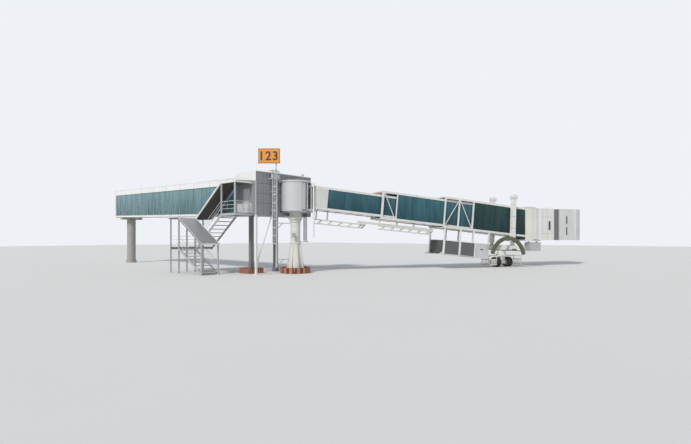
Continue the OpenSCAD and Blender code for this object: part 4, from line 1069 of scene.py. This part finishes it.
@dataclass
class LiftAndBogie:
    """Lift columns, cross beam, hose arch, bogie and wheels."""

    pal: Palette
    col_y: float = 0.91
    col_half: float = 0.118
    col_top: float = 4.285
    wheel_r: float = 0.3
    wheel_y: float = 0.43
    tyre_w: float = 0.17
    tread: float = 0.007
    treads: int = 5

    def build(self) -> None:
        """Add seams and bands and make detailed wheels."""
        y, t = self.col_y, self.col_top

        def around(body: Body, name: str, finish: str, half: float, spans: Sequence, shrink: float = 1.0) -> None:
            """Wrap both columns in square bands between the heights of each span."""
            rows = both([(-half, -half, z0, half, half, z1) for z0, z1 in spans], y)
            self.pal.trim(body, LAY.lift, name, finish, rows, shrink=shrink)

        around(Body.OUTER, "lift_column_seams", "seam_dark", self.col_half, [(z, z + 0.008) for z in (2.3, 3.0, 3.7)])
        around(Body.OUTER, "lift_flares", "paint_white", 0.16, [(t - 0.30, t - 0.18)], 0.74)
        around(Body.OUTER, "lift_cap_bands", "panel_light", 0.163, [(t - 0.185, t - 0.14)])
        around(Body.LIFT, "lift_dark_bands", "steel_dark", 0.085, [(1.297, 1.33)])
        beam = both([(-0.192, -0.17, 1.03, 0.192, 0.17, 1.06)], 0.9)
        self.pal.trim(Body.LIFT, LAY.lift, "lift_beam_lines", "seam_dark", beam)
        self.wheel(-1, Body.WHEEL_L, "wheel_left")
        self.wheel(1, Body.WHEEL_R, "wheel_right")

    def wheel(self, side: int, body: Body, node: str) -> None:
        """Make one pair of tyres with grooves and rims.

        Args:
            side: -1 for the left pair, 1 for the right pair.
            body: Body that the pair rides on.
            node: CAD node that it replaces.
        """
        r, w = self.wheel_r, self.tyre_w
        z = np.linspace(0, w, 41)
        groove = self.tread * (np.abs(((z / w * self.treads) % 1) - 0.5) < 0.14)
        crown = np.minimum(r - 0.022 * (2 * z / w - 1) ** 4 - groove, r - 0.0005)
        tyre = [(0.165, 0.012), (0.20, 0.002), (r - 0.05, 0.0), *zip(crown, z),
                (r - 0.05, w), (0.20, w - 0.002), (0.165, w - 0.012)]
        rim = [(0.05, 0.03), (0.09, 0.03), (0.12, 0.055), (0.165, 0.012), (0.168, 0.04),
               (0.168, w - 0.04), (0.165, w - 0.012), (0.12, w - 0.055), (0.09, w - 0.03), (0.05, w - 0.03)]
        label = node.replace("wheel_", "")
        spots = [LAY.bogie @ LAY.move(side * self.wheel_y + off, 0, r) @ LAY.turn("y", 90)
                 for off in (-w - 0.015, 0.015)]
        tyres = [lathe(f"tyre_{k}", tyre, 96, spot) for k, spot in enumerate(spots)]
        rims = [lathe(f"rim_{k}", rim, 48, spot) for k, spot in enumerate(spots)]
        self.pal.dress(join(f"tyres_{label}", tyres), "tyre", body, node)
        self.pal.dress(join(f"rims_{label}", rims), "paint_cream", body)


@dataclass
class Cab:
    """Rounded collar, turning cab body, bellows and rounded outer section."""

    pal: Palette
    half: float = 0.9
    high: float = 1.96

    def build(self) -> None:
        """Add windows, seams, posts and roof flaps, and a painted highlight and a painted shade on the nose."""
        add = partial(self.pal.trim, Body.CAB, LAY.cab)
        w, h = self.half, self.high
        add("cab_slit_panes", "slit_dark", both([(1.162, -0.02, 0.642, 1.298, 0.002, 1.158)], w))
        add("cab_slit_frames", "panel_light", both([(a, -0.006, b, c, 0.012, d) for a, b, c, d in (
            (1.135, 0.615, 1.16, 1.185), (1.30, 0.615, 1.325, 1.185), (1.135, 0.615, 1.325, 0.64),
            (1.135, 1.16, 1.325, 1.185))], w), 0.004)
        add("cab_panel_seams", "seam_dark", both(
            [(x, -0.002, 0.03, x + 0.007, 0.002, h - 0.04) for x in (0.70, 1.05)]
            + [(0.57, -0.002, z, 1.60, 0.002, z + 0.006) for z in (0.42, 1.42)], w))
        add("nose_slit_panes", "slit_dark", [
            (2.562, -w - 0.038, z, 2.668, -w + 0.004, z + 0.476) for z in (0.332, 1.022)])
        add("cab_front_posts", "paint_white", both([(0.26, -0.004, 0.02, 0.56, 0.014, h - 0.02)], w), 0.006)
        flaps = [(0.9, y, h, 1.5, y, h + 0.05) for y in (-0.6, 0.6)]
        for name, finish, lines, width, depth in (
                # Painted highlight: a pale strip on the nose's first rounded facet, standing in for the sun's glint
                # there.
                ("nose_painted_highlight", "paint_white", [(3.26, -0.943, 0.98, 3.40, -0.922, 0.98)], 0.010, h - 0.06),
                # Painted shade: a darker grey skin on the nose's end facets, standing in for their shaded side.
                ("nose_painted_shade", "panel_light", [(3.47, -0.9105, 0.98, 3.65, -0.8845, 0.98)], 0.010, h - 0.06),
                ("cab_roof_flaps", "paint_white", flaps, 0.5, 0.02)):
            self.pal.dress(bars(name, lines, width, depth, LAY.cab), finish, Body.CAB)


# ---- studio


@dataclass
class Studio:
    """Floor, sky light, sun and the camera of the photograph."""

    eye: tuple[float, float, float] = (-15.33, -17.19, 1.8)
    heading: float = 48.0
    lens: float = 23.757
    sensor: float = 36.0
    shift_y: float = 0.0217
    reach: float = 400.0
    floor_half: float = 90.0
    dome: float = 0.46
    backdrop: float = 0.95
    sun: float = 2.3
    sun_size: float = 8.0
    sun_turn: tuple[float, float] = (50.0, -78.0)

    def build(self) -> None:
        """Make the stage, the lights and the camera."""
        self.floor()
        self.world()
        self.lamp()
        self.camera()

    def floor(self) -> None:
        """Lay the pale floor."""
        e = self.floor_half
        rows = np.array([[-e, -e, 0], [e, -e, 0], [e, e, 0], [-e, e, 0]], float)
        floor = mesh_piece("stage_floor", rows, np.array([[0, 1, 2, 3]]))
        mat, tree, bsdf, coord = new_material("stage_floor", (0.78, 0.77, 0.75))
        fine = math_node(tree, "MULTIPLY", noise_node(tree, coord, 0.35, 6.0), 0.25)
        feed(bsdf, {"Base Color": mix_node(tree, fine, (0.78, 0.77, 0.75), (0.70, 0.69, 0.67)), "Roughness": 0.9})
        floor.data.materials.append(mat)

    def world(self) -> None:
        """Light the scene from a plain dome, paler to the camera, in gloss and through glass."""
        world = bpy.data.worlds.new("studio")
        bpy.context.scene.world = world
        world.use_nodes = True
        tree = world.node_tree
        tree.nodes.clear()
        rays = add_node(tree, "LightPath", {}).outputs
        mirrored = math_node(tree, "MAXIMUM", rays["Is Glossy Ray"], rays["Is Transmission Ray"])
        pick = math_node(tree, "MAXIMUM", rays["Is Camera Ray"], mirrored)
        soft = add_node(tree, "Background", {"Color": (0.80, 0.88, 1.0, 1), "Strength": self.dome})
        seen = add_node(tree, "Background", {"Color": (0.90, 0.93, 0.97, 1), "Strength": self.backdrop})
        mix = add_node(tree, "MixShader", {0: pick, 1: soft.outputs[0], 2: seen.outputs[0]})
        add_node(tree, "OutputWorld", {"Surface": mix.outputs[0]})

    def lamp(self) -> None:
        """Add one soft sun from high behind the camera's left."""
        sun = bpy.data.lights.new("studio_sun", "SUN")
        sun.energy = self.sun
        sun.angle = math.radians(self.sun_size)
        sun.color = (1.0, 0.97, 0.92)
        tilt, turn = self.sun_turn
        link_piece("studio_sun", sun).rotation_euler = (math.radians(tilt), 0, math.radians(turn))

    def camera(self) -> None:
        """Set the camera where the photograph was taken, scaled to the model."""
        data = bpy.data.cameras.new("photo_camera")
        data.sensor_fit = "HORIZONTAL"
        data.sensor_width = self.sensor
        data.lens = self.lens
        data.shift_y = self.shift_y
        data.clip_end = self.reach
        cam = link_piece("photo_camera", data)
        cam.location = self.eye
        cam.rotation_euler = (math.radians(90), 0, math.radians(-self.heading))
        bpy.context.scene.camera = cam


def main() -> None:
    """Build every sub-assembly, then the studio."""
    logging.basicConfig(level=logging.INFO, format="%(name)s: %(message)s")
    pal = Palette()
    pal.dress_nodes()
    for kind in (Corridor, JunctionBox, Stair, LadderAndSign, Rotunda, Tunnels, LiftAndBogie, Cab):
        log.info("building %s", kind.__name__)
        kind(pal).build()
    Studio().build()
    bpy.context.scene.view_settings.view_transform = "Standard"


if __name__ == "__main__":
    main()
